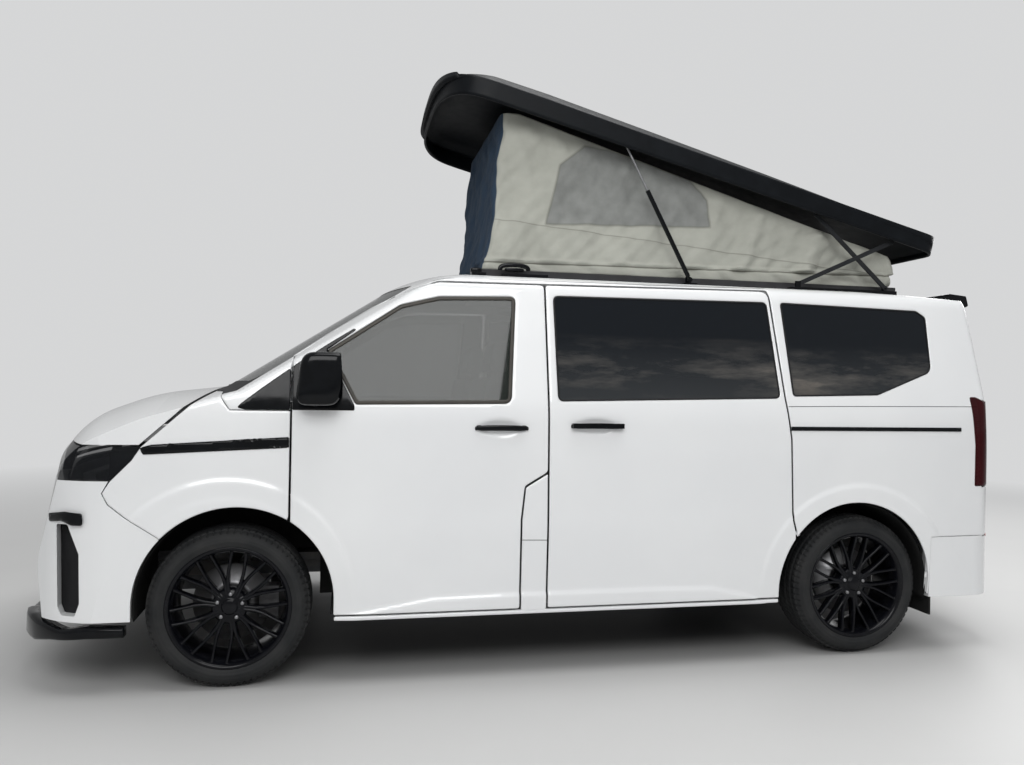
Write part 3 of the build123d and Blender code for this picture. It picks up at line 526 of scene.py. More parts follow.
# The tyre's outline from bead to bead: two sides that bulge as a power of a sine, joined by a crown that
# falls with a power of the distance from the middle.
def tyreProfile():
    bead, crown = wheel["bead"], wheel["crown"]
    crownY = np.linspace(-crown, crown, 49)
    crownR = wheel["tyreRadius"] - 0.0075 * (np.abs(crownY) / crown) ** 3.2
    t = np.linspace(0.02, 0.98, 15)
    sideR = bead + (crownR[-1] - bead) * t
    sideY = 0.108 + 0.0185 * np.sin(math.pi * np.clip(t * 1.08, 0, 1)) ** 0.75 - 0.020 * t ** 4
    sideY = np.minimum(sideY, wheel["tyreHalf"])
    profile = list(zip(sideR, -sideY)) + list(zip(crownR, crownY)) + list(zip(sideR[::-1], sideY[::-1]))
    return np.array(profile + [(bead, 0.100), (0.256, 0.0), (bead, -0.100)])


# Tread: four grooves round the tyre, slanted slits in the outer ribs and fine ones in the inner ribs.
def makeTyre(site):
    profile, turns, tread, rim = tyreProfile(), wheel["turns"], wheel["treadFrom"], wheel["ringsFrom"]
    points, quads = turned(profile, turns)
    points = points.reshape(turns, len(profile), 3)
    y = points[..., 1]
    radius = np.hypot(points[..., 0], points[..., 2])
    outside = radius > tread
    grooves = np.zeros_like(y)
    for place in wheel["grooves"]:
        grooves = np.maximum(grooves, np.clip(1.6 - np.abs(y - place) / 0.0042, 0, 1))
    pitch = wheel["blocks"] * circle(turns)[:, None] / (2 * math.pi)
    slant = (pitch + np.abs(y) * 9) % 1
    shoulder = (np.abs(y) > 0.068) & (radius > 0.330)
    slits = np.clip(1.5 - np.abs(slant - 0.5) / 0.085, 0, 1) * shoulder
    fine = (pitch + y * 14) % 1
    slits += 0.55 * np.clip(1.5 - np.abs(fine - 0.5) / 0.06, 0, 1) * ((np.abs(y) < 0.064) & outside)
    depth = wheel["groove"] * np.maximum(grooves * outside, np.minimum(slits, 1))
    share = (radius - depth) / radius
    points[..., 0] *= share
    points[..., 2] *= share
    sidewall = (radius > rim) & (radius < tread)
    rings = 0.0011 * np.sign(np.sin((radius - rim) * 2 * math.pi / wheel["ringPitch"])) * sidewall
    points[..., 1] += rings * np.sign(y)
    wheelPiece(f"tyre_{site}_tread", [(points, quads)], site, "tyre", [f"tyre_{site}"])


# A bar with a rounded section, carried along a path in the wheel's plane. Path rows are radius along the
# spoke, sideways place, place of the face along the axle, half width and depth.
def bar(path, turn):
    path = np.array(path, float)
    steps = np.linspace(0, len(path) - 1, 19)
    rows = np.stack([np.interp(steps, np.arange(len(path)), path[:, i]) for i in range(5)], 1)
    loop = np.array([(-1.0, -1.0), (-1.0, -0.30), (-0.84, -0.06), (-0.45, 0.0), (0, 0.03), (0.45, 0.0),
                     (0.84, -0.06), (1.0, -0.30), (1.0, -1.0)])
    lead = headings(rows[:, :2])
    side = np.stack([-lead[:, 1], lead[:, 0]], 1)
    flat = rows[:, None, :2] + side[:, None, :] * (loop[None, :, 0] * rows[:, 3:4])[..., None]
    face = rows[:, 2:3] + loop[None, :, 1] * rows[:, 4:5]
    c, s = math.cos(turn), math.sin(turn)
    x, z = flat[..., 0] * c - flat[..., 1] * s, flat[..., 0] * s + flat[..., 1] * c
    return np.stack([x, face, z], -1).reshape(-1, 3), gridQuads(len(steps), len(loop), False, True)


# The rim with its hub and pairs of spokes, and the brake disc with the bolts.
def makeRim(site):
    face = wheel["face"]
    barrel = [(0.270, 0.1095), (0.2705, 0.1155), (0.266, 0.1178), (0.258, 0.1165), (0.252, 0.110), (0.244, 0.094),
              (0.238, 0.070), (0.235, 0.020), (0.231, -0.070), (0.238, -0.104), (0.250, -0.1165), (0.266, -0.1178),
              (0.2705, -0.1155), (0.270, -0.1095), (0.2555, -0.108), (0.250, -0.090), (0.246, 0.0), (0.252, 0.085),
              (0.2555, 0.108)]
    parts = [turned(barrel, 144)]
    hub = [(0.0, 0.096), (0.026, 0.0955), (0.033, 0.093), (0.0345, 0.087), (0.040, 0.0855), (0.070, 0.082),
           (0.078, 0.074), (0.080, 0.030), (0.070, 0.0), (0.0325, 0.0), (0.0325, 0.05), (0.0, 0.05)]
    parts.append(turned(hub, 72, False))
    for number in range(wheel["spokes"]):
        turn = 2 * math.pi * (number + 0.25) / wheel["spokes"]
        for side in (-1, 1):
            path = [(0.050, side * 0.006, 0.084, 0.0085, 0.046), (0.110, side * 0.0065, 0.083, 0.0085, 0.044),
                    (0.148, side * 0.014, 0.086, 0.0075, 0.040), (0.200, side * 0.031, face - 0.006, 0.0065, 0.036),
                    (0.243, side * 0.046, face, 0.0080, 0.032)]
            parts.append(bar(path, turn))
    wheelPiece(f"rim_{site}_spokes", parts, site, "wheel_black", [f"rim_{site}"])
    parts = []
    nut = [(0.0, 0.092), (0.006, 0.0918), (0.0085, 0.090), (0.0085, 0.082), (0.013, 0.078)]
    for number in range(5):
        turn = 2 * math.pi * (number + 0.3) / 5
        bolt, quads = turned(nut, 12, False)
        parts.append((bolt + (0.056 * math.cos(turn), 0, 0.056 * math.sin(turn)), quads))
    disc = [(0.060, -0.004), (0.098, -0.004), (0.100, -0.010), (0.171, -0.010), (0.172, -0.020), (0.171, -0.034),
            (0.100, -0.034), (0.060, -0.030)]
    parts.append(turned(disc, 96))
    wheelPiece(f"disc_{site}", parts, site, "steel")


makeCanvas()
for site in wheelSites:
    makeTyre(site)
    makeRim(site)
print("canvas and wheels made")


# Body sides: a height of half width over the side view, cut out along each panel's outline.

bodySide = {
    "step": 0.012,
    "edge": 0.005,
    "skin": 0.022,
    "wingSkin": 0.0025,
    "frontArch": (1.549, 0.380, 0.426),
    "rearArch": (-1.500, 0.360, 0.427),
    "frontFlare": (1.587, 0.376, 0.552),
    "rearFlare": (-1.512, 0.330, 0.545),
    "flare": 0.0078,
    "skirt": [(-1.10, 0.25), (-0.966, 0.316), (-0.884, 0.346), (-0.70, 0.386), (-0.40, 0.391), (0.362, 0.389),
              (0.689, 0.380), (0.826, 0.357), (1.005, 0.326), (1.115, 0.318), (1.2, 0.31)],
    "skirtStep": 0.011,
    "cups": [(0.370, 1.158, 0.108, 0.045, 0.10, 1.02), (-0.098, 1.168, 0.108, 0.042, -0.23, 0.13)],
}


# The lesser of two, with the corner between them rounded over the blend.
def softMin(a, b, blend):
    return np.minimum(a, b) - np.maximum(blend - np.abs(a - b), 0) ** 2 / (4 * blend)


# Above zero inside the body: the least distance to the side's cross-section, its plan and its top line.
# The top line's corners slide back and down with the square of the distance from the middle.
def bodyDepth(x, y, z):
    side = softMin(lineAt((0.3, 1.0033), (0.69, 1.019), z), lineAt((0.69, 1.019), (1.235, 1.003), z), 0.004)
    side = softMin(side, lineAt((1.235, 1.003), (1.889, 0.866), z), 0.012) - y
    shoulder = (lineAt((0.866, 1.889), (0.0, 2.010), y) - z) * 0.99
    inside = softMin(side, shoulder, 0.075)
    plan = softMin(lineAt((1.85, 1.024), (2.23, 1.003), x), lineAt((2.23, 1.003), (2.43, 0.80), x), 0.06)
    plan = softMin(plan, lineAt((-1.9, 1.024), (-2.285, 1.0), x), 0.02)
    plan = softMin(plan, lineAt((-2.285, 1.0), (-2.43, 0.815), x), 0.05)
    inside = softMin(inside, plan - y, 0.015)
    s = (y / 1.03) ** 2
    tail, rear = (-2.352 + 0.16 * s, 1.911 - 0.08 * s), (-1.5, 1.957 - 0.09 * s)
    brow, foot = (0.735 - 0.15 * s, 1.957 - 0.09 * s), (1.70 - 0.18 * s, 1.334 - 0.022 * s)
    crease, lip = (2.04 - 0.09 * s, 1.294 - 0.11 * s), (2.315 - 0.15 * s, 1.19 - 0.105 * s)
    roof = softMin(lineAt(rear, brow, x), lineAt(brow, foot, x), 0.10)
    roof = softMin(roof, lineAt(tail, rear, x), 0.02)
    bonnet = softMin(lineAt(foot, crease, x), lineAt(crease, lip, x), 0.03)
    top = np.maximum(roof, bonnet) - z
    back = x - lineAt((1.12, -2.498 + 0.19 * s), (1.911, -2.352 + 0.16 * s), z)
    back = softMin(back, x - lineAt((0.56, -2.522 + 0.12 * s), (1.12, -2.498 + 0.19 * s), z), 0.02)
    return softMin(softMin(inside, top * 0.85, 0.012), back, 0.03)


# The half width where the depth passes zero, found by halving.
def sideReach(x, z):
    low, high = np.full(np.shape(x), 0.30), np.full(np.shape(x), 1.10)
    for turn in range(24):
        middle = (low + high) / 2
        inside = bodyDepth(x, middle, z) > 0
        low, high = np.where(inside, middle, low), np.where(inside, high, middle)
    return low


# From 0 to 1 with level ends: three times the square less twice the cube.
def ramp(value):
    share = np.clip(value, 0, 1)
    return share * share * (3 - 2 * share)


# Pressed forms in the side, outwards: flares round the wheels, the skirt and the bowls behind the handles.
def sideRelief(x, z):
    total = np.zeros_like(x)
    for cx, cz, radius in (bodySide["frontFlare"], bodySide["rearFlare"]):
        away = np.hypot(x - cx, z - cz)
        level = ramp((z - 0.30) / 0.25)
        total += bodySide["flare"] * ramp((radius + 0.010 - away) / 0.022) * level
        total += 0.002 * ramp((radius - 0.075 - away) / 0.02) * level
    # lower beside the door's hinge line, so the open door clears the wing
    total *= 1 - 0.72 * np.exp(-((x - 1.322) / 0.05) ** 2)
    crease = np.interp(x, *np.array(bodySide["skirt"]).T)
    between = ramp((x + 1.05) / 0.1) * ramp((1.13 - x) / 0.1)
    total += bodySide["skirtStep"] * ramp((crease - z) / 0.020) * between
    for cx, cz, wide, high, first, last in bodySide["cups"]:
        bowl = np.clip(1 - ((x - cx) / wide) ** 2 - ((z - cz) / high) ** 2, 0, 1) ** 1.2
        total -= 0.017 * bowl * ((x > first) & (x < last))
    return total


# A closed outline with round corners, its points a step apart.
def roundOutline(points, radii, step):
    points = np.array(points, float)
    radii = radii if isinstance(radii, (list, tuple)) else [radii] * len(points)
    path = []
    for before, here, after, radius in zip(np.roll(points, 1, 0), points, np.roll(points, -1, 0), radii):
        a, b = before - here, after - here
        la, lb = np.linalg.norm(a), np.linalg.norm(b)
        turn = math.acos(np.clip(a @ b / la / lb, -1, 1))
        reach = min(radius / max(math.tan(turn / 2), 1e-6), la * 0.48, lb * 0.48)
        if reach < 0.0005:
            path.append(here[None])
            continue
        t = np.linspace(0, 1, 9)[:, None]
        start, end = here + a / la * reach, here + b / lb * reach
        path.append(start * (1 - t) ** 2 + here * 2 * t * (1 - t) + end * t ** 2)
    path = np.concatenate(path)
    lengths = np.linalg.norm(np.roll(path, -1, 0) - path, axis=1)
    walk = np.concatenate([[0], np.cumsum(lengths)])
    count = max(int(walk[-1] / step), 12)
    places = np.union1d(np.linspace(0, walk[-1], count, endpoint=False), walk[:-1])
    places = places[np.concatenate([[True], np.diff(places) > 0.0012])]
    loop = np.vstack([path, path[:1]])
    return np.stack([np.interp(places, walk, loop[:, i]) for i in range(2)], 1)


# An outline's points moved inwards.
def insetLoop(loop, distance):
    lead = np.roll(loop, -1, 0) - np.roll(loop, 1, 0)
    lead /= np.maximum(np.linalg.norm(lead, axis=1), 1e-9)[:, None]
    x, z = loop.T
    area = (x * np.roll(z, -1) - np.roll(x, -1) * z).sum()
    return loop + np.stack([-lead[:, 1], lead[:, 0]], 1) * distance * (1 if area > 0 else -1)


# Distance of points from the edges of a region with holes, above zero inside it.
def regionDistance(points, outline, holes):
    a, b = points.T
    return np.minimum.reduce([insideDistance(a, b, outline)] + [-insideDistance(a, b, hole) for hole in holes])


# The points and triangles of a flat region with holes: outline loops, rings along them and a grid between.
def regionMesh(outline, holes, step, edge):
    loops, near = [outline] + holes, edge * 1.1
    rings = [insetLoop(loop, width * (-1 if number else 1)) for number, loop in enumerate(loops)
             for width in (edge * 0.35, near)] if edge else []
    low, high = outline.min(0), outline.max(0)
    rows = np.arange(low[1], high[1], step * 0.87)
    gx, gz = np.meshgrid(np.arange(low[0], high[0], step), rows)
    gx = gx + (np.arange(len(rows)) % 2)[:, None] * step / 2
    spare = np.stack([gx.ravel(), gz.ravel()], 1)
    margin = max(near, 0.001) + step * 0.4
    points = np.concatenate(loops + rings + [spare[regionDistance(spare, outline, holes) > margin]])
    edges, start = [], 0
    for loop in loops:
        index = np.arange(len(loop)) + start
        edges += np.stack([index, np.roll(index, -1)], 1).tolist()
        start += len(loop)
    found = delaunay_2d_cdt([Vector(p) for p in points], edges, [], 0, 1e-6)
    places = np.array([tuple(v) for v in found[0]])
    faces = np.array([f for f in found[2] if len(f) == 3])
    inside = regionDistance(places[faces].mean(1), outline, holes) > 0
    gap = np.abs(regionDistance(places, outline, holes))
    a, b, c = (places[faces[:, i]] for i in range(3))
    area = (b[:, 0] - a[:, 0]) * (c[:, 1] - a[:, 1]) - (c[:, 0] - a[:, 0]) * (b[:, 1] - a[:, 1])
    faces = np.where(area[:, None] > 0, faces[:, ::-1], faces)
    return places, faces[inside], gap


# One panel of the side as points and faces. It stands out from the body's form; its edges roll off.
def sidePanel(side, outline, radii, holes=(), out=0.0, relief=True,
              edge=bodySide["edge"], step=bodySide["step"]):
    cut = [roundOutline(points, r, step) for points, r in holes]
    places, faces, gap = regionMesh(roundOutline(outline, radii, step), cut, step, edge)
    x, z = places.T
    y = sideReach(x, z) + out + (sideRelief(x, z) if relief else 0)
    if edge:
        short = np.clip(edge - gap, 0, edge)
        y = y - (edge - np.sqrt(np.maximum(edge ** 2 - short ** 2, 0)))
    return np.stack([x, y * side, z], -1), faces if side > 0 else faces[:, ::-1]


# Points along an arch from one angle to another, in degrees.
def arcPoints(arch, start, end, count=40):
    cx, cz, radius = arch
    angles = np.radians(np.linspace(start, end, count))
    return [(cx + radius * math.cos(a), cz + radius * math.sin(a)) for a in angles]


# The angle on an arch, in degrees, where it passes x.
def archAngle(arch, x):
    return math.degrees(math.acos((x - arch[0]) / arch[2]))


# Panes as an outline and its corners' radii, then the outlines of the panels.
panes = {
    "door": ([(1.168, 1.506), (1.040, 1.262), (0.318, 1.274), (0.284, 1.790), (0.655, 1.777), (0.838, 1.730)],
             [0.014, 0.022, 0.040, 0.030, 0.120, 0.060]),
    "slide": ([(0.095, 1.802), (0.088, 1.287), (-1.078, 1.316), (-1.048, 1.812)], 0.03),
    "quarter": ([(-1.126, 1.813), (-1.150, 1.327), (-1.636, 1.340), (-1.973, 1.468), (-1.982, 1.764),
                 (-1.930, 1.797)], [0.020, 0.020, 0.040, 0.060, 0.030, 0.040]),
}
outlines = {
    "doorTop": [(1.3185, 1.480), (1.165, 1.592), (0.960, 1.728), (0.812, 1.802), (0.655, 1.848), (0.1385, 1.854),
                (0.1385, 0.952), (0.250, 0.886), (0.268, 0.727), (0.268, 0.312), (1.123, 0.312)],
    "doorTopRadii": [0.040, 0, 0.060, 0.060, 0.090, 0.020, 0.025, 0.025, 0.030, 0.012, 0.010],
    "wing": [(1.3255, 1.2305), (1.585, 1.2305), (1.640, 1.311), (1.682, 1.311), (1.804, 1.199), (1.944, 1.069),
             (1.981, 1.010), (2.066, 0.9205), (2.0965, 0.870), (2.0715, 0.8225), (2.0015, 0.7655), (1.869, 0.680)],
    "pillar": [(1.3255, 1.2325), (1.584, 1.2325), (1.6315, 1.301), (1.570, 1.317), (1.503, 1.361), (0.771, 1.8455),
               (0.748, 1.8465), (0.690, 1.880), (0.640, 1.8985), (0.40, 1.9015), (-1.583, 1.9015),
               (-2.2585, 1.8650), (-2.262, 1.833), (-2.349, 1.3082), (-2.2354, 1.3230), (-2.2554, 0.8553),
               (-2.4125, 0.8822), (-2.4405, 0.640), (-2.4405, 0.601), (-1.9355, 0.601), (-1.9355, 0.3015)],
    "opening": [(-1.159, 0.642), (-1.142, 0.704), (-1.137, 1.108), (-1.109, 1.310), (-1.067, 1.8785),
                (0.135, 1.861), (0.655, 1.855), (0.8145, 1.8087), (0.9635, 1.734), (1.170, 1.598), (1.3255, 1.485)],
    "openingRight": [(-1.073, 0.286), (0.261, 0.286), (0.261, 0.727), (0.2435, 0.883), (0.1315, 0.949),
                     (0.1315, 1.861), (0.655, 1.855), (0.8145, 1.8087), (0.9635, 1.734), (1.170, 1.598),
                     (1.3255, 1.485)],
    "strip": [(0.1385, 0.300), (0.261, 0.300), (0.261, 0.727), (0.244, 0.8795), (0.1385, 0.942)],
    "sill": [(-1.072, 0.286), (1.120, 0.286), (1.120, 0.305), (-1.072, 0.305)],
    "slide": [(0.1315, 1.854), (-1.060, 1.872), (-1.102, 1.310), (-1.130, 1.108), (-1.135, 0.703), (-1.152, 0.640)],
}


# An outline's corners moved inwards.
def moved(points, distance):
    return [tuple(p) for p in insetLoop(np.array(points, float), distance)]


# Front door with its inner card, wing and side panel.
def makeSide(side):
    word = "left" if side > 0 else "right"
    front, rear, skin = bodySide["frontArch"], bodySide["rearArch"], bodySide["skin"]
    door, slot = f"door_{word}", "white_paint"
    arc = arcPoints(front, 180, archAngle(front, 1.3185) + 0.2)
    radii = outlines["doorTopRadii"] + [0] * len(arc)
    panel = sidePanel(side, outlines["doorTop"] + arc, radii, [panes["door"]])
    panelPiece(f"{door}_skin", [panel], skin, slot, door, [door])
    arc = arcPoints((front[0], front[1], front[2] + 0.012), 179, archAngle(front, 1.300))
    hole = (moved(panes["door"][0], -0.004), 0.02)
    card = sidePanel(side, moved(outlines["doorTop"], 0.016) + arc, 0.01, [hole], -skin - 0.001, False, 0, 0.03)
    panelPiece(f"{door}_card", [card], 0.033, "trim_dark", door)
    arc = arcPoints(front, archAngle(front, 1.3255), archAngle(front, 1.8625))
    panel = sidePanel(side, outlines["wing"] + arc[::-1], 0.003)
    panelPiece(f"wing_{word}_skin", [panel], bodySide["wingSkin"], slot, "body", ["front_wings"])
    if side > 0:
        end, opening, holes = archAngle(rear, -1.159), "opening", []
    else:
        end, opening, holes = -9.8, "openingRight", [panes["slide"]]
    outline = outlines["pillar"] + arcPoints(rear, 187.8, end) + outlines[opening]
    parts = [sidePanel(side, outline, 0.003, [panes["quarter"]] + holes)]
    if side > 0:
        parts.append(sidePanel(side, outlines["strip"], 0.004))
    parts.append(sidePanel(side, outlines["sill"], 0.002))
    panelPiece(f"side_{word}_skin", parts, skin, slot, "body", [f"side_{word}"])


# The left side's sliding door.
def makeSlidingDoor():
    arch = bodySide["rearArch"]
    arc = arcPoints(arch, archAngle(arch, -1.152), 0)
    outline = outlines["slide"] + arc + [(-1.073, 0.312), (0.1315, 0.312)]
    radii = [0.02, 0.04] + [0] * (len(outline) - 3) + [0.012]
    panel = sidePanel(1, outline, radii, [panes["slide"]])
    panelPiece("sliding_door_skin", [panel], bodySide["skin"], "white_paint", "body", ["sliding_door"])


makeSide(1)
makeSlidingDoor()
makeSide(-1)
print("body sides made")


# Roof shell, worked out closed and then turned up about the lift arms' tips. Round the plan outline the
# edge point runs to a spine in the middle; the height rises with the share of that way.

shell = {
    "rear": (-2.104, 0.672),
    "rearRadius": 0.10,
    "wall": 0.012,
    "noseStart": 0.520,
    "noseEnd": 0.886,
    "nosePower": 3.4,
    "lipBack": 0.034,
    "levels": (1.946, 2.046, 2.145),
    "section": [(1.0, 1.946), (1.0, 1.962), (0.9995, 2.036), (1.0, 2.046), (0.993, 2.054), (0.975, 2.063),
                (0.93, 2.090), (0.88, 2.109), (0.75, 2.121), (0.5, 2.134), (0.25, 2.142), (0.0, 2.145)],
    "crown": [(-2.104, 2.000), (-2.085, 2.030), (-1.975, 2.090), (-1.6, 2.106), (-1.0, 2.122), (-0.3, 2.134),
              (0.3, 2.142), (0.60, 2.136), (0.74, 2.122), (0.82, 2.092), (0.86, 2.062), (0.886, 2.030)],
    "closedTip": (-1.339, 1.960),
    "raisedTip": (-1.492, 2.350),
    "tilt": math.radians(14.3),
}


# A power of the value's size that keeps its sign.
def signedPower(value, power):
    return np.sign(value) * np.abs(value) ** power


# The nose is a superellipse. The crown's height falls towards the nose and the rear, and the lip leans back.
def makeShell():
    reach, wide, power = shell["noseEnd"] - shell["noseStart"], shell["rear"][1], 2 / shell["nosePower"]
    foot, rim, crest = shell["levels"]
    turn = np.linspace(0.5, -0.5, 75) * math.pi
    nose = [shell["noseStart"] + reach * np.cos(turn) ** power, wide * signedPower(np.sin(turn), power)]
    nose = np.stack(nose, 1)
    plan = [shell["rear"]] + [tuple(point) for point in nose] + [(shell["rear"][0], -wide)]
    radius = shell["rearRadius"]
    loop = roundOutline(plan, [radius] + [0] * len(nose) + [radius], 0.016)
    share, level = np.array(shell["section"]).T
    spine = np.stack([np.clip(loop[:, 0], -1.55, 0.30), np.zeros(len(loop))], 1)
    flat = spine[:, None] + (loop - spine)[:, None] * share[None, :, None]
    noseShare = ramp((loop[:, 0] - 0.62) / 0.25)[:, None]
    wallShare = (foot - np.minimum(level, rim)) / 0.10
    flat[..., 0] -= noseShare * shell["lipBack"] * (1 + wallShare * np.abs(wallShare)) * (share > 0.9)
    crown = np.interp(flat[..., 0], *np.array(shell["crown"]).T)
    grow = (crown - foot) / (crest - foot)
    rise = np.where(level < rim, 1.0, ramp((level - rim) / 0.06) * (grow - 1) + 1)
    z = foot + (level - foot) * np.minimum(rise, np.maximum(grow, 0.30) + (level < rim + 0.001) * 1.0)
    dx, dz = flat[..., 0] - shell["closedTip"][0], z - shell["closedTip"][1]
    c, s = math.cos(shell["tilt"]), math.sin(shell["tilt"])
    points = [shell["raisedTip"][0] + dx * c - dz * s, flat[..., 1], shell["raisedTip"][1] + dx * s + dz * c]
    item = meshObject("roof_shell_form", np.stack(points, -1), [gridQuads(*z.shape, aroundRows=True)])
    facesDown = lambda faces: sum(f.normal.z * f.calc_area() for f in faces) < 0
    mended(item, 0.0008, picked=lambda faces: faces if facesDown(faces) else [])
    thicken(item, shell["wall"])
    finishPiece(item, "roof_black", "roof", ["roof_shell"])


makeShell()
print("roof shell made")


# Rounded bodies: a superellipsoid, where each coordinate is a power of sine and cosine of two angles.
def roundBody(centre, half, squareness, rings, turns):
    up = np.linspace(-math.pi / 2, math.pi / 2, rings)[:, None]
    around = circle(turns)[None, :]
    e1, e2 = squareness
    x = signedPower(np.cos(up), e1) * signedPower(np.cos(around), e2)
    y = signedPower(np.cos(up), e1) * signedPower(np.sin(around), e2)
    z = signedPower(np.sin(up), e1) * np.ones_like(around)
    points = np.stack([x, y, z], -1) * np.array(half) + np.array(centre)
    return points.reshape(-1, 3), gridQuads(rings, turns, False, True)[:, ::-1]


# A tube: an ellipse's loop carried along a path in 3-D, kept upright.
def swept(path, wide, high, turns, up=(0, 0, 1)):
    path = np.asarray(path, float)
    lead = headings(path)
    sideways = np.cross(lead, np.array(up, float))
    sideways /= np.maximum(np.linalg.norm(sideways, axis=1), 1e-9)[:, None]
    rise = np.cross(sideways, lead)
    angle = circle(turns)[None, :, None]
    points = path[:, None] + sideways[:, None] * (wide * np.cos(angle)) + rise[:, None] * (high * np.sin(angle))
    return points.reshape(-1, 3), gridQuads(len(path), turns, False, True)


# Trims that follow the side: outline, corner radius, how far the face stands out, wall, whether it takes the
# pressed forms, width of the rolled edge, slot and finish. The first three are a piece on each side.
trims = {
    "stripe": ([(1.3275, 1.114), (1.3275, 1.066), (1.935, 1.036), (1.948, 1.066), (1.90, 1.079)],
               0.003, 0.0030, 0.0030, True, 0, "gloss_black", None),
    "corner_panel": ([(1.3265, 1.2335), (1.520, 1.2335), (1.551, 1.2410), (1.549, 1.252), (1.452, 1.330),
                      (1.3265, 1.4250)], 0.010, 0.0035, 0.004, False, 0.004, "gloss_black", None),
    "sail_panel": ([(1.3170, 1.2335), (1.3170, 1.4330), (1.158, 1.5420), (1.049, 1.6130), (1.040, 1.604),
                    (1.1700, 1.508), (1.0440, 1.2560), (1.0440, 1.2335)],
                   0.006, 0.0025, 0.003, False, 0.003, "gloss_black", None),
    "lamp_covers": ([(-2.186, 1.338), (-2.225, 1.338), (-2.335, 1.285), (-2.375, 1.230), (-2.400, 0.960),
                     (-2.395, 0.868), (-2.206, 0.862), (-2.210, 1.080)],
                    0.012, 0.0035, 0.0035, False, 0.004, "red_lens", None),
    "side_reflectors": ([(-2.330, 0.585), (-2.372, 0.632), (-2.380, 0.612), (-2.350, 0.580)],
                        0.004, 0.004, 0.004, False, 0, "red_lens", "reflector"),
    "slot_hooks": ([(2.168, 0.735), (2.172, 0.786), (2.250, 0.792), (2.335, 0.776), (2.330, 0.740),
                    (2.262, 0.752), (2.215, 0.735)], 0.010, 0.0028, 0.003, False, 0, "gloss_black", None),
}
# Panel seams drawn as thin lines: the rear quarter's, and on the left the strip's.
seams = [[(-2.225, 1.2860), (-1.80, 1.2830), (-1.40, 1.2790), (-1.118, 1.2750)],
         [(0.1400, 0.631), (0.2605, 0.634)]]


# One of the trims as a piece, on one side or on both.
def makeTrim(trim, name, sides, body):
    outline, radius, out, wall, relief, edge, slot, look = trims[trim]
    parts = [sidePanel(side, outline, radius, (), out, relief, edge) for side in sides]
    panelPiece(name, parts, wall, slot, body, (), look)


# Points of a grid that stands out from the side's surface.
def onSide(x, z, out, side):
    return np.stack([x, (sideReach(x, z) + out) * side, z], -1)


# A ring of the side's surface between an outline and the same outline moved inwards.
def surfaceRing(pane, width, out, side):
    loop = roundOutline(*panes[pane], 0.02)
    places = np.stack([insetLoop(loop, inset) for inset in np.linspace(0, width, 4)], 1)
    return onSide(places[..., 0], places[..., 1], out, side), gridQuads(len(loop), 4, True)


# All trims of one side, with its window frame, rear seals, seams, mirror and handles.
def makeSideTrim(side):
    word = "left" if side > 0 else "right"
    door = f"door_{word}"
    for trim, body in (("stripe", "body"), ("corner_panel", "body"), ("sail_panel", door)):
        makeTrim(trim, f"{trim}_{word}", [side], body)
    frames = [surfaceRing("door", 0.017, 0.0015, side)]
    panelPiece(f"window_frame_{word}", frames, 0.003, "black_plastic", door, (), "frame_bronze", side)
    seals = [surfaceRing(pane, 0.007, 0.0010, side) for pane in ("quarter", "slide")]
    panelPiece(f"rear_window_seals_{word}", seals, 0.002, "black_plastic", "body", facing=side)
    lines = []
    for seam in seams if side > 0 else seams[:1]:
        x = np.linspace(seam[0][0], seam[-1][0], 40)[:, None].repeat(2, 1)
        z = np.interp(x, *np.array(seam).T) + (-0.0016, 0.0016)
        lines.append((onSide(x, z, 0.0003, side), gridQuads(40, 2)))
    panelPiece(f"seam_lines_{word}", lines, 0, "black_plastic", "body", (), "seam", side)
    makeMirror(side, door, f"mirror_{word}", f"mirror_glass_{word}", f"door_trim_{word}")
    makeHandles(side, door, f"handle_{word}", f"door_trim_{word}")


# Door mirror: a rounded housing, a foot on the corner panel, and the glass on its rear face.
def makeMirror(side, door, name, glassName, replaced):
    centre, half = (1.190, 1.070, 1.375), (0.098, 0.0655, 0.118)
    points, faces = roundBody(centre, half, (0.42, 0.50), 40, 64)
    lift = (points[:, 2] - centre[2]) / half[2]
    points[:, 0] += 0.018 * np.clip(-lift, 0, 1) - 0.016 * np.clip(lift, 0, 1) ** 2
    points[:, 0] = np.maximum(points[:, 0], 1.100 + 0.008 * lift)
    path = [(1.225, 0.955, 1.262), (1.222, 0.985, 1.264), (1.215, 1.020, 1.272), (1.205, 1.055, 1.290)]
    parts = [(points, faces), swept(path, 0.040, 0.020, 20)]
    solidPiece(name, [(p * (1, side, 1), f) for p, f in parts], door, [replaced])
    loop = roundOutline([(1.018, 1.275), (1.122, 1.285), (1.118, 1.462), (1.018, 1.455)], 0.025, 0.008)
    rim = np.stack([np.full(len(loop), 1.0985), loop[:, 0] * side, loop[:, 1]], -1)
    middle = rim.mean(0)
    grid = middle + (rim[:, None] - middle) * np.linspace(0.02, 1, 5)[None, :, None]
    plate = meshObject(glassName, grid, [gridQuads(len(loop), 5, True)])
    mended(plate, picked=lambda faces: [f for f in faces if f.normal.x > 0])
    finishPiece(plate, "aluminium", door, (), "mirror")


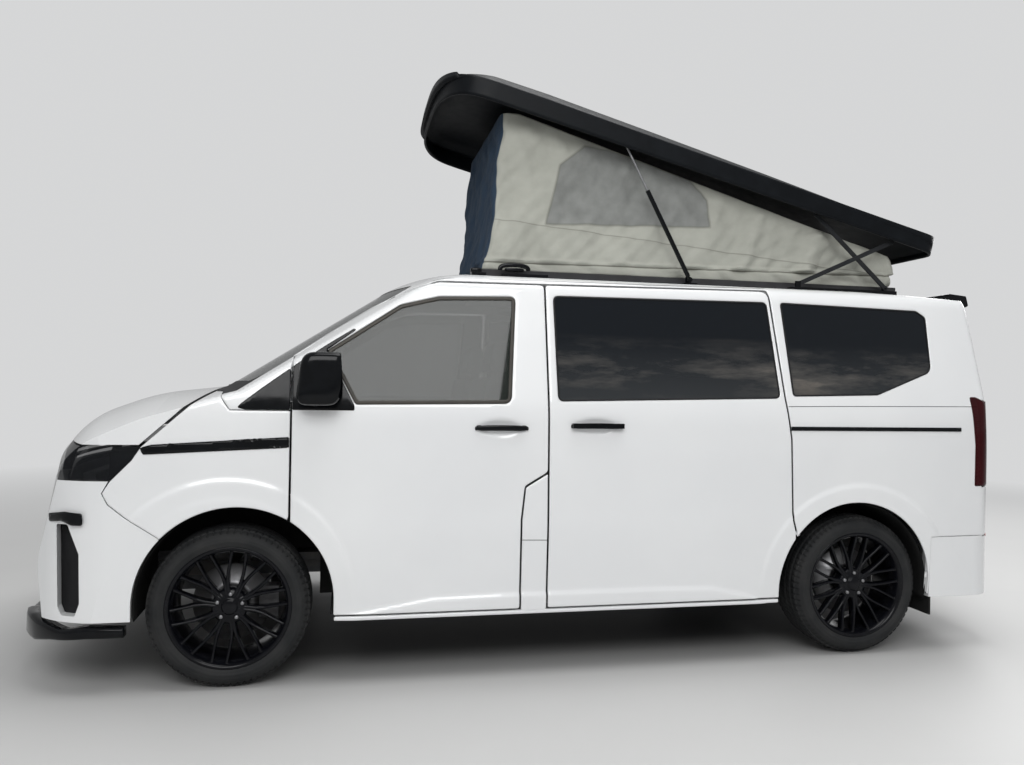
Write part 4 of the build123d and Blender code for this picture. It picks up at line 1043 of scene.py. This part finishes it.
# Door handles: a bowed bar with round ends that stands over the bowl pressed in the panel.
def makeHandles(side, door, name, replaced):
    sites = [(0.365, 1.160, 0.124, door, [replaced])]
    if side > 0:
        sites.append((-0.103, 1.172, 0.128, "body", []))
    t = np.linspace(-1, 1, 41)
    size = np.sqrt(np.clip(1 - np.abs(t) ** 7, 0.02, 1))[:, None, None]
    around = circle(24)
    ring = [0 * around, 0.0085 * signedPower(np.sin(around), 0.7), 0.0135 * signedPower(np.cos(around), 0.7)]
    for number, (x, z, half, body, nodesReplaced) in enumerate(sites):
        reach = float(sideReach(x, z))
        path = np.stack([x + half * t, (reach + 0.0135 - 0.0075 * t ** 4) * side, z - 0.003 * t ** 2], -1)
        parts = [(path[:, None] + np.stack(ring, -1) * size, gridQuads(41, 24, False, True))]
        for share, out, drop, radii, squareness, rings in (
                (0.86, 0.002, 0, (0.016, 0.012, 0.012), 0.7, 14),
                (0.985, 0.0065, 0.003, (0.006, 0.0065, 0.0095), 0.9, 12)):
            for way in (-share, share):
                centre = (x + way * half, (reach + out) * side, z - drop)
                parts.append(roundBody(centre, radii, (squareness, squareness), rings, 20))
        solidPiece(f"{name}_{number}", parts, body, nodesReplaced)


for side in (1, -1):
    makeSideTrim(side)
print("side trim made")


# Arches, splitter, air slot and small parts on the roof.

# Half barrels of felt that close each arch from the tyre's inner side to the panel's edge, darker than the felt
# itself as painted shade in the arches.
def makeArchBarrels():
    parts = []
    for arch, radius, first, last in (("frontArch", 0.4215, -9, 189), ("rearArch", 0.4225, -11, 191)):
        x, z = np.array(arcPoints((*bodySide[arch][:2], radius), first, last, 72)).T[..., None]
        limit = sideReach(x, z) - 0.012 - 0.0008 * np.arange(8)[::-1]
        y = np.minimum(np.linspace(0.66, 0.992, 8), limit)
        for side in (1, -1):
            grid = np.stack([x.repeat(8, 1), y * side, z.repeat(8, 1)], -1)
            parts.append((grid, gridQuads(72, 8)[:, ::side]))
    panelPiece("arch_barrels", parts, 0.003, "liner_felt", "body", (), "arch_liner_shade", offset=1)


# The splitter: a blade that follows the bumper's plan, taller at the corner, with a fin back to the arch.
# Top and foot are heights by the share of the way from the fin to the middle.
splitter = {
    "plan": [(1.985, 1.012), (2.10, 1.010), (2.22, 0.998), (2.315, 0.935), (2.400, 0.850), (2.470, 0.735),
             (2.520, 0.560), (2.545, 0.330), (2.552, 0.0)],
    "top": [(0.0, 0.292), (0.13, 0.300), (0.22, 0.285), (0.30, 0.300), (0.40, 0.316), (0.52, 0.312), (0.62, 0.268),
            (0.80, 0.262), (1.0, 0.262)],
    "foot": [(0.0, 0.252), (0.13, 0.250), (0.26, 0.236), (0.36, 0.212), (0.50, 0.209), (0.62, 0.222), (0.80, 0.228),
             (1.0, 0.228)],
    "section": [(-0.055, 0.03), (-0.020, 0.0), (-0.006, 0.02), (0.0, 0.14), (0.0, 0.80), (-0.004, 0.96),
                (-0.016, 1.0), (-0.055, 1.0)],
    "count": 161,
}


# The section's rows are the way out from the line, and the share of the height between foot and top.
def makeSplitter():
    half = np.array(splitter["plan"])
    plan = np.concatenate([half, (half * (1, -1))[::-1][1:]])
    walk = np.concatenate([[0], np.cumsum(np.linalg.norm(np.diff(plan, axis=0), axis=1))])
    place = np.linspace(0, walk[-1], splitter["count"])
    kernel = np.hanning(13)
    kernel /= kernel.sum()
    line = [np.convolve(np.pad(np.interp(place, walk, axis), 6, "edge"), kernel, "valid") for axis in plan.T]
    line = np.stack(line, 1)
    share = 1 - np.abs(place / walk[-1] - 0.5) * 2
    top = np.interp(share, *np.array(splitter["top"]).T)
    foot = np.interp(share, *np.array(splitter["foot"]).T)
    lead = headings(line)
    away = np.stack([-lead[:, 1], lead[:, 0]], 1)
    away *= np.sign((away * (line - (1.9, 0))).sum(1))[:, None]
    points = np.stack([np.column_stack([line + away * out, foot + (top - foot) * level])
                       for out, level in splitter["section"]], 1)
    blade = (points, gridQuads(len(line), len(splitter["section"]), False, True))
    solidPiece("splitter_blade", [blade], "body", ["splitter"], 12)


# Clamps and the grab handle on the roof's front edge.
def makeRoofParts():
    parts = []
    t = np.linspace(0, math.pi, 25)
    for side in (1, -1):
        path = [0.235 + 0.075 * np.cos(t), np.full(25, 0.612 * side), 1.958 + 0.028 * np.sin(t) ** 0.6]
        parts.append(swept(np.stack(path, -1), 0.012, 0.0065, 16, (0, 1, 0)))
        parts.append(roundBody((0.235, 0.612 * side, 1.960), (0.052, 0.014, 0.010), (0.5, 0.5), 16, 24))
        parts.append(roundBody((0.425, 0.545 * side, 1.955), (0.030, 0.018, 0.018), (0.5, 0.5), 16, 24))
    solidPiece("roof_clamps", parts, "body")


# The tail lamps' covers where they wrap onto the sides, reflectors, and hooks over the bumper's air slots.
for trim in ("lamp_covers", "side_reflectors", "slot_hooks"):
    makeTrim(trim, trim, (1, -1), "body")
makeArchBarrels()
makeSplitter()
makeRoofParts()
print("small outer parts made")


# Studio

studio = {
    "floorHalf": 40,
    "floor": (0.56, 0.56, 0.555),
    "wall": (0.72, 0.725, 0.73),
    "fill": 0.58,
    "shown": 0.93,
    "horizon": (3.5, 11.0),
    "keySize": 6.0,
    "keyPower": 365.0,
    "keyPlace": (1.5, 7.8, 5.8),
    "topPower": 330.0,
    "backPower": 160.0,
}


# An area lamp turned towards a point.
def aimedLamp(name, place, target, size, power):
    lamp = bpy.data.lights.new(name, "AREA")
    lamp.shape = "RECTANGLE"
    lamp.size, lamp.size_y = size, size * 0.6
    lamp.energy = power
    item = bpy.data.objects.new(name, lamp)
    item.location = place
    item.rotation_euler = (Vector(target) - Vector(place)).to_track_quat("-Z", "Y").to_euler()
    bpy.context.scene.collection.objects.link(item)


# A pale floor that fades into the air far off, with a soft painted shadow under the van, and three lamps.
# What the camera sees of the world is brighter than the fill it gives.
def makeStudio():
    far = studio["floorHalf"]
    corners = [(-far, -far, 0), (far, -far, 0), (far, far, 0), (-far, far, 0)]
    floor = meshObject("floor", corners, [[(0, 1, 2, 3)]], False)
    finish = Finish("pale floor")
    cloud = finish.noise(0.7, 5).between(0.3, 0.7)
    colour = finish.mix(cloud, studio["floor"], tuple(v * 0.96 for v in studio["floor"]))
    length, width = (finish.along(axis).maths("ABSOLUTE") for axis in ("X", "Y"))
    # painted shadow: the floor's colour darkened to near black in a soft box under the van
    colour = finish.mix(length.between(2.45, 1.7) * width.between(1.05, 0.55) * 0.9, colour, (0.02, 0.02, 0.02))
    ground = finish.node("ShaderNodeBsdfPrincipled", sockets={"Base Color": colour, "Roughness": 0.55})
    haze = finish.node("ShaderNodeEmission", sockets={"Color": studio["wall"], "Strength": studio["shown"]})
    reach = finish.node("ShaderNodeVectorMath", {"operation": "LENGTH"}, {0: finish.place()}, output=1)
    camera = finish.node("ShaderNodeLightPath", output="Is Camera Ray")
    share = reach.between(*studio["horizon"]) * camera
    blend = finish.node("ShaderNodeMixShader", sockets={0: share, 1: ground, 2: haze})
    finish.node("ShaderNodeOutputMaterial", sockets={"Surface": blend})
    floor.data.materials.append(finish.owner)
    aimedLamp("key", studio["keyPlace"], (0, 0, 1), studio["keySize"], studio["keyPower"])
    aimedLamp("top", (-1.0, 0.5, 7.5), (0, 0, 0), 7.0, studio["topPower"])
    aimedLamp("rear", (-7.0, -3.0, 4.0), (0, 0, 1), 4.0, studio["backPower"])
    air = Finish("studio", bpy.data.worlds.new("studio"))
    bpy.context.scene.world = air.owner
    direct = air.node("ShaderNodeLightPath", output="Is Camera Ray")
    through = air.node("ShaderNodeLightPath", output="Is Transmission Ray")
    fill, shown = (air.node("ShaderNodeBackground", sockets={"Color": studio["wall"], "Strength": studio[key]})
                   for key in ("fill", "shown"))
    seen = direct.maths("ADD", through, clamp=True)
    choice = air.node("ShaderNodeMixShader", sockets={0: seen, 1: fill, 2: shown})
    air.node("ShaderNodeOutputWorld", sockets={"Surface": choice})
    bpy.context.scene.view_settings.view_transform = "Standard"


view = {
    "place": (1.111, 4.794, 1.350),
    "yaw": -0.206,
    "pitch": 0.006,
    "roll": 0.016,
    "focal": 823.3,
    "frameWidth": 1024,
    "sensor": 36.0,
}


# The camera looks along -Y, turned by yaw about Z, pitched up and rolled.
def makeCamera():
    camera = bpy.data.cameras.new("camera")
    camera.sensor_width = view["sensor"]
    camera.lens = view["focal"] * view["sensor"] / view["frameWidth"]
    camera.clip_end = 200
    yaw, pitch, roll = view["yaw"], view["pitch"], view["roll"]
    ahead = Vector((math.sin(yaw) * math.cos(pitch), -math.cos(yaw) * math.cos(pitch), math.sin(pitch)))
    right = ahead.cross(Vector((0, 0, 1))).normalized()
    up = right.cross(ahead)
    rightTurned = right * math.cos(roll) + up * math.sin(roll)
    upTurned = up * math.cos(roll) - right * math.sin(roll)
    turn = Matrix((rightTurned, upTurned, -ahead)).transposed().to_4x4()
    item = bpy.data.objects.new("camera", camera)
    item.matrix_world = Matrix.Translation(view["place"]) @ turn
    bpy.context.scene.collection.objects.link(item)
    bpy.context.scene.camera = item


makeStudio()
makeCamera()
print("studio and camera set")
